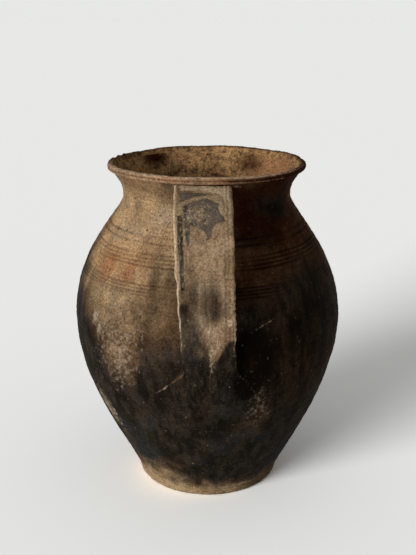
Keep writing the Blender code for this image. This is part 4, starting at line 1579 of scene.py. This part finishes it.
        marks = STRAP_STAINS.at(shift, half, length, level, outer, wall_marks)
        return add_surface(self.name, np.stack([x, y, level], -1), False, marks)


@dataclass
class LutingRoll:
    """A roll of clay pressed into the corner under one end of the strap, thinner at its ends.

    inset is how far it is pressed in, as a share of its radius, and end_share how thick its
    ends are.
    """

    name: str
    node: str
    centre: Pair
    width: float
    offset: float
    slot: str = "luting_clay"
    radius: float = 0.0045
    inset: float = 0.70
    end_share: float = 0.55
    rows: int = 90
    sides: int = 40
    lumps: Waves = Waves(61, 0.00035, (40, 200), (0.6, 2.0), 24, False)

    def build(self) -> bpy.types.Object:
        """Makes the roll: circles about an arc round the jug, thinning by share^4 to its ends."""
        half_turn = math.asin(self.width / 2 / self.centre[0])
        share = np.linspace(-1.0, 1.0, self.rows)[:, None]
        around_it = turn(self.sides)[None, :]
        thin = self.radius * (1.0 - (1.0 - self.end_share) * share**4)
        thin = thin * np.sqrt(np.maximum(0.02, 1.0 - share**16))
        lumpy = self.lumps.at(share * 0.05 + np.cos(around_it) * 0.004, np.sin(around_it) + share)
        radius = thin + lumpy * (thin / self.radius)
        reach = self.centre[0] + radius * np.cos(around_it)
        level = self.centre[1] + radius * np.sin(around_it)
        angle = half_turn * share + 0.0 * reach
        x, y = self.offset + reach * np.sin(angle), -reach * np.cos(angle)
        marks = STAINS.at(np.arctan2(x, -y), level)
        return add_surface(self.name, np.stack([x, y, level], -1), False, marks)


def luting_rolls(strap: PulledStrap) -> tuple[LutingRoll, LutingRoll]:
    """The rolls under the strap's root, and where its inner face comes near to the belly."""
    path = evenly(strap.path(), strap.rows)
    top, end = path[0, 1], path[-1, 1]
    inset = LutingRoll.radius * LutingRoll.inset
    level = top - strap.root_thickness / 2 - inset
    upper = LutingRoll(
        "upper_luting_roll", "upper_roll", (float(OUTLINE.outer_reach(level)) + inset, level),
        strap.root_width, float(strap.offset(level, top, end)),
    )
    crown = np.argmax(path[:, 0])
    falling = path[crown:]
    inner = falling[:, 0] - strap.sizes(falling[:, 1], top, end)[1] / 2
    gap = inner - OUTLINE.outer_reach(falling[:, 1])
    near = int(np.argmax(gap < LutingRoll.radius))
    level = float(falling[near, 1])
    lower = LutingRoll(
        "lower_luting_roll", "lower_roll", (float(inner[near] - gap[near] / 2), level),
        strap.width, float(strap.offset(level, top, end)),
    )
    return upper, lower


@dataclass
class Studio:
    """The camera, the lamp, the world and the floor.

    The lamp's azimuth and elevation, the camera's pitch and the lamp's width are in degrees.
    """

    lens: float = 54.0
    sensor: float = 36.0
    eye: Triple = (0.0005, -0.688, 0.3945)
    pitch: float = 72.49
    key_azimuth: float = -45.0
    key_elevation: float = 15.5
    key_energy: float = 2.75
    key_angle: float = 30.0
    fill: float = 0.22
    sky: Colour = (0.802, 0.810, 0.789)
    fill_colour: Colour = (1.0, 0.985, 0.96)
    floor_colour: Colour = (0.885, 0.900, 0.890)
    floor_roughness: float = 0.9
    floor_size: float = 60.0
    clip: Pair = (0.01, 100.0)

    def add_camera(self) -> None:
        """Puts the camera where the photograph was taken from, without shift or depth of field."""
        data = bpy.data.cameras.new("camera")
        data.lens, data.sensor_width = self.lens, self.sensor
        data.clip_start, data.clip_end = self.clip
        camera = add_object("camera", data)
        camera.location = self.eye
        camera.rotation_euler = (math.radians(self.pitch), 0.0, 0.0)
        bpy.context.scene.camera = camera

    def add_key(self) -> None:
        """One broad soft lamp from the left, a little above the level of the mouth."""
        data = bpy.data.lights.new("key", "SUN")
        data.energy, data.angle = self.key_energy, math.radians(self.key_angle)
        bearing, raised = math.radians(self.key_azimuth), math.radians(self.key_elevation)
        add_object("key", data).rotation_euler = (math.pi / 2 - raised, 0.0, bearing)

    @staticmethod
    def by_ray(bench: Bench, usual: Socket, seen: Socket, out: Socket) -> None:
        """Shows one shader to the camera and in reflections, and another to all other rays.

        Args:
            bench: The nodes of a world or a material.
            usual: The shader that lights the scene.
            seen: The shader that rays of the camera meet, and those that a shine or a clear
                thing sends on.
            out: The input that takes the choice of the two.
        """
        path = bench.node("ShaderNodeLightPath").outputs
        share = path["Is Camera Ray"]
        for name in ("Is Glossy Ray", "Is Transmission Ray"):
            share = bench.made("ShaderNodeMath", (share, path[name]), operation="ADD",
                               use_clamp=True)
        bench.feed(out, bench.made("ShaderNodeMixShader", (share, usual, seen)))

    def add_world(self) -> None:
        """A world that fills the shadows evenly, and that the camera sees as a pale backdrop."""
        world = bpy.data.worlds.new("studio")
        world.use_nodes = True
        world.node_tree.nodes.clear()
        bench = Bench(world.node_tree)
        out = bench.node("ShaderNodeOutputWorld").inputs["Surface"]
        light = bench.named("ShaderNodeBackground", color=self.fill_colour, strength=self.fill)
        backdrop = bench.named("ShaderNodeBackground", color=self.sky)
        self.by_ray(bench, light.outputs[0], backdrop.outputs[0], out)
        bpy.context.scene.world = world

    def add_floor(self) -> None:
        """A large pale floor, which the camera sees twice as bright as the light leaves it."""
        size = self.floor_size
        mesh = bpy.data.meshes.new("floor")
        mesh.from_pydata([(-size, -size, 0.0), (size, -size, 0.0), (size, size, 0.0),
                          (-size, size, 0.0)], [], [(0, 1, 2, 3)])
        material = bpy.data.materials.new("pale floor")
        material.use_nodes = True
        nodes = material.node_tree.nodes
        bench = Bench(material.node_tree)
        shader = nodes["Principled BSDF"]
        shader.inputs["Base Color"].default_value = (*self.floor_colour, 1.0)
        shader.inputs["Roughness"].default_value = self.floor_roughness
        shader.inputs["Specular IOR Level"].default_value = 0.0
        doubled = bench.made("ShaderNodeAddShader", (shader.outputs[0],) * 2)
        self.by_ray(bench, shader.outputs[0], doubled, nodes["Material Output"].inputs["Surface"])
        mesh.materials.append(material)
        floor = add_object("floor", mesh)

    def build(self) -> None:
        """Sets up the whole stage."""
        bpy.context.scene.view_settings.view_transform = "Standard"
        self.add_camera()
        self.add_key()
        self.add_world()
        self.add_floor()


def wall_rings() -> tuple[WallRing, ...]:
    """The five rings of the wall, upwards. Each seam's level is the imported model's."""
    return (
        LowestRing("lowest_ring", "lower_wall", "stained_clay", 0.0070, 0.0800),
        WallRing("belly_ring", "belly_wall", "sooted_clay", 0.0800, 0.1480),
        WallRing("shoulder_ring", "shoulder_wall", "smoked_clay", 0.1480, 0.1923),
        WallRing("banded_ring", "banded_wall", "reddened_clay", 0.1923, 0.2320, step=0.00036),
        WallRing("neck_ring", "neck_collar", "khaki_clay", 0.2320, 0.2742, high_scarf=0.0012),
    )


def main() -> None:
    """Builds the jug's pieces in order, dresses them and sets the stage."""
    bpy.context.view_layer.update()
    Studio().build()
    strap = PulledStrap()
    effects = Effects(ragged_edge(), clay_grain(), specks())
    makers = [(FootDisc(), FOOT_FINISH), *((ring, WALL_FINISH) for ring in wall_rings()),
              (LipBand(), LIP_FINISH), (strap, STRAP_FINISH),
              *((roll, LUTING_FINISH) for roll in luting_rolls(strap))]
    for maker, finish in makers:
        piece = maker.build()
        piece.data.materials.append(effects.material(finish))
        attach(piece, BODY)
        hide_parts(maker.node)
        LOG.info("%s stands for %s: %d faces", maker.name, maker.node, len(piece.data.polygons))


if __name__ == "__main__":
    logging.basicConfig(level=logging.INFO, format="%(name)s: %(message)s")
    main()
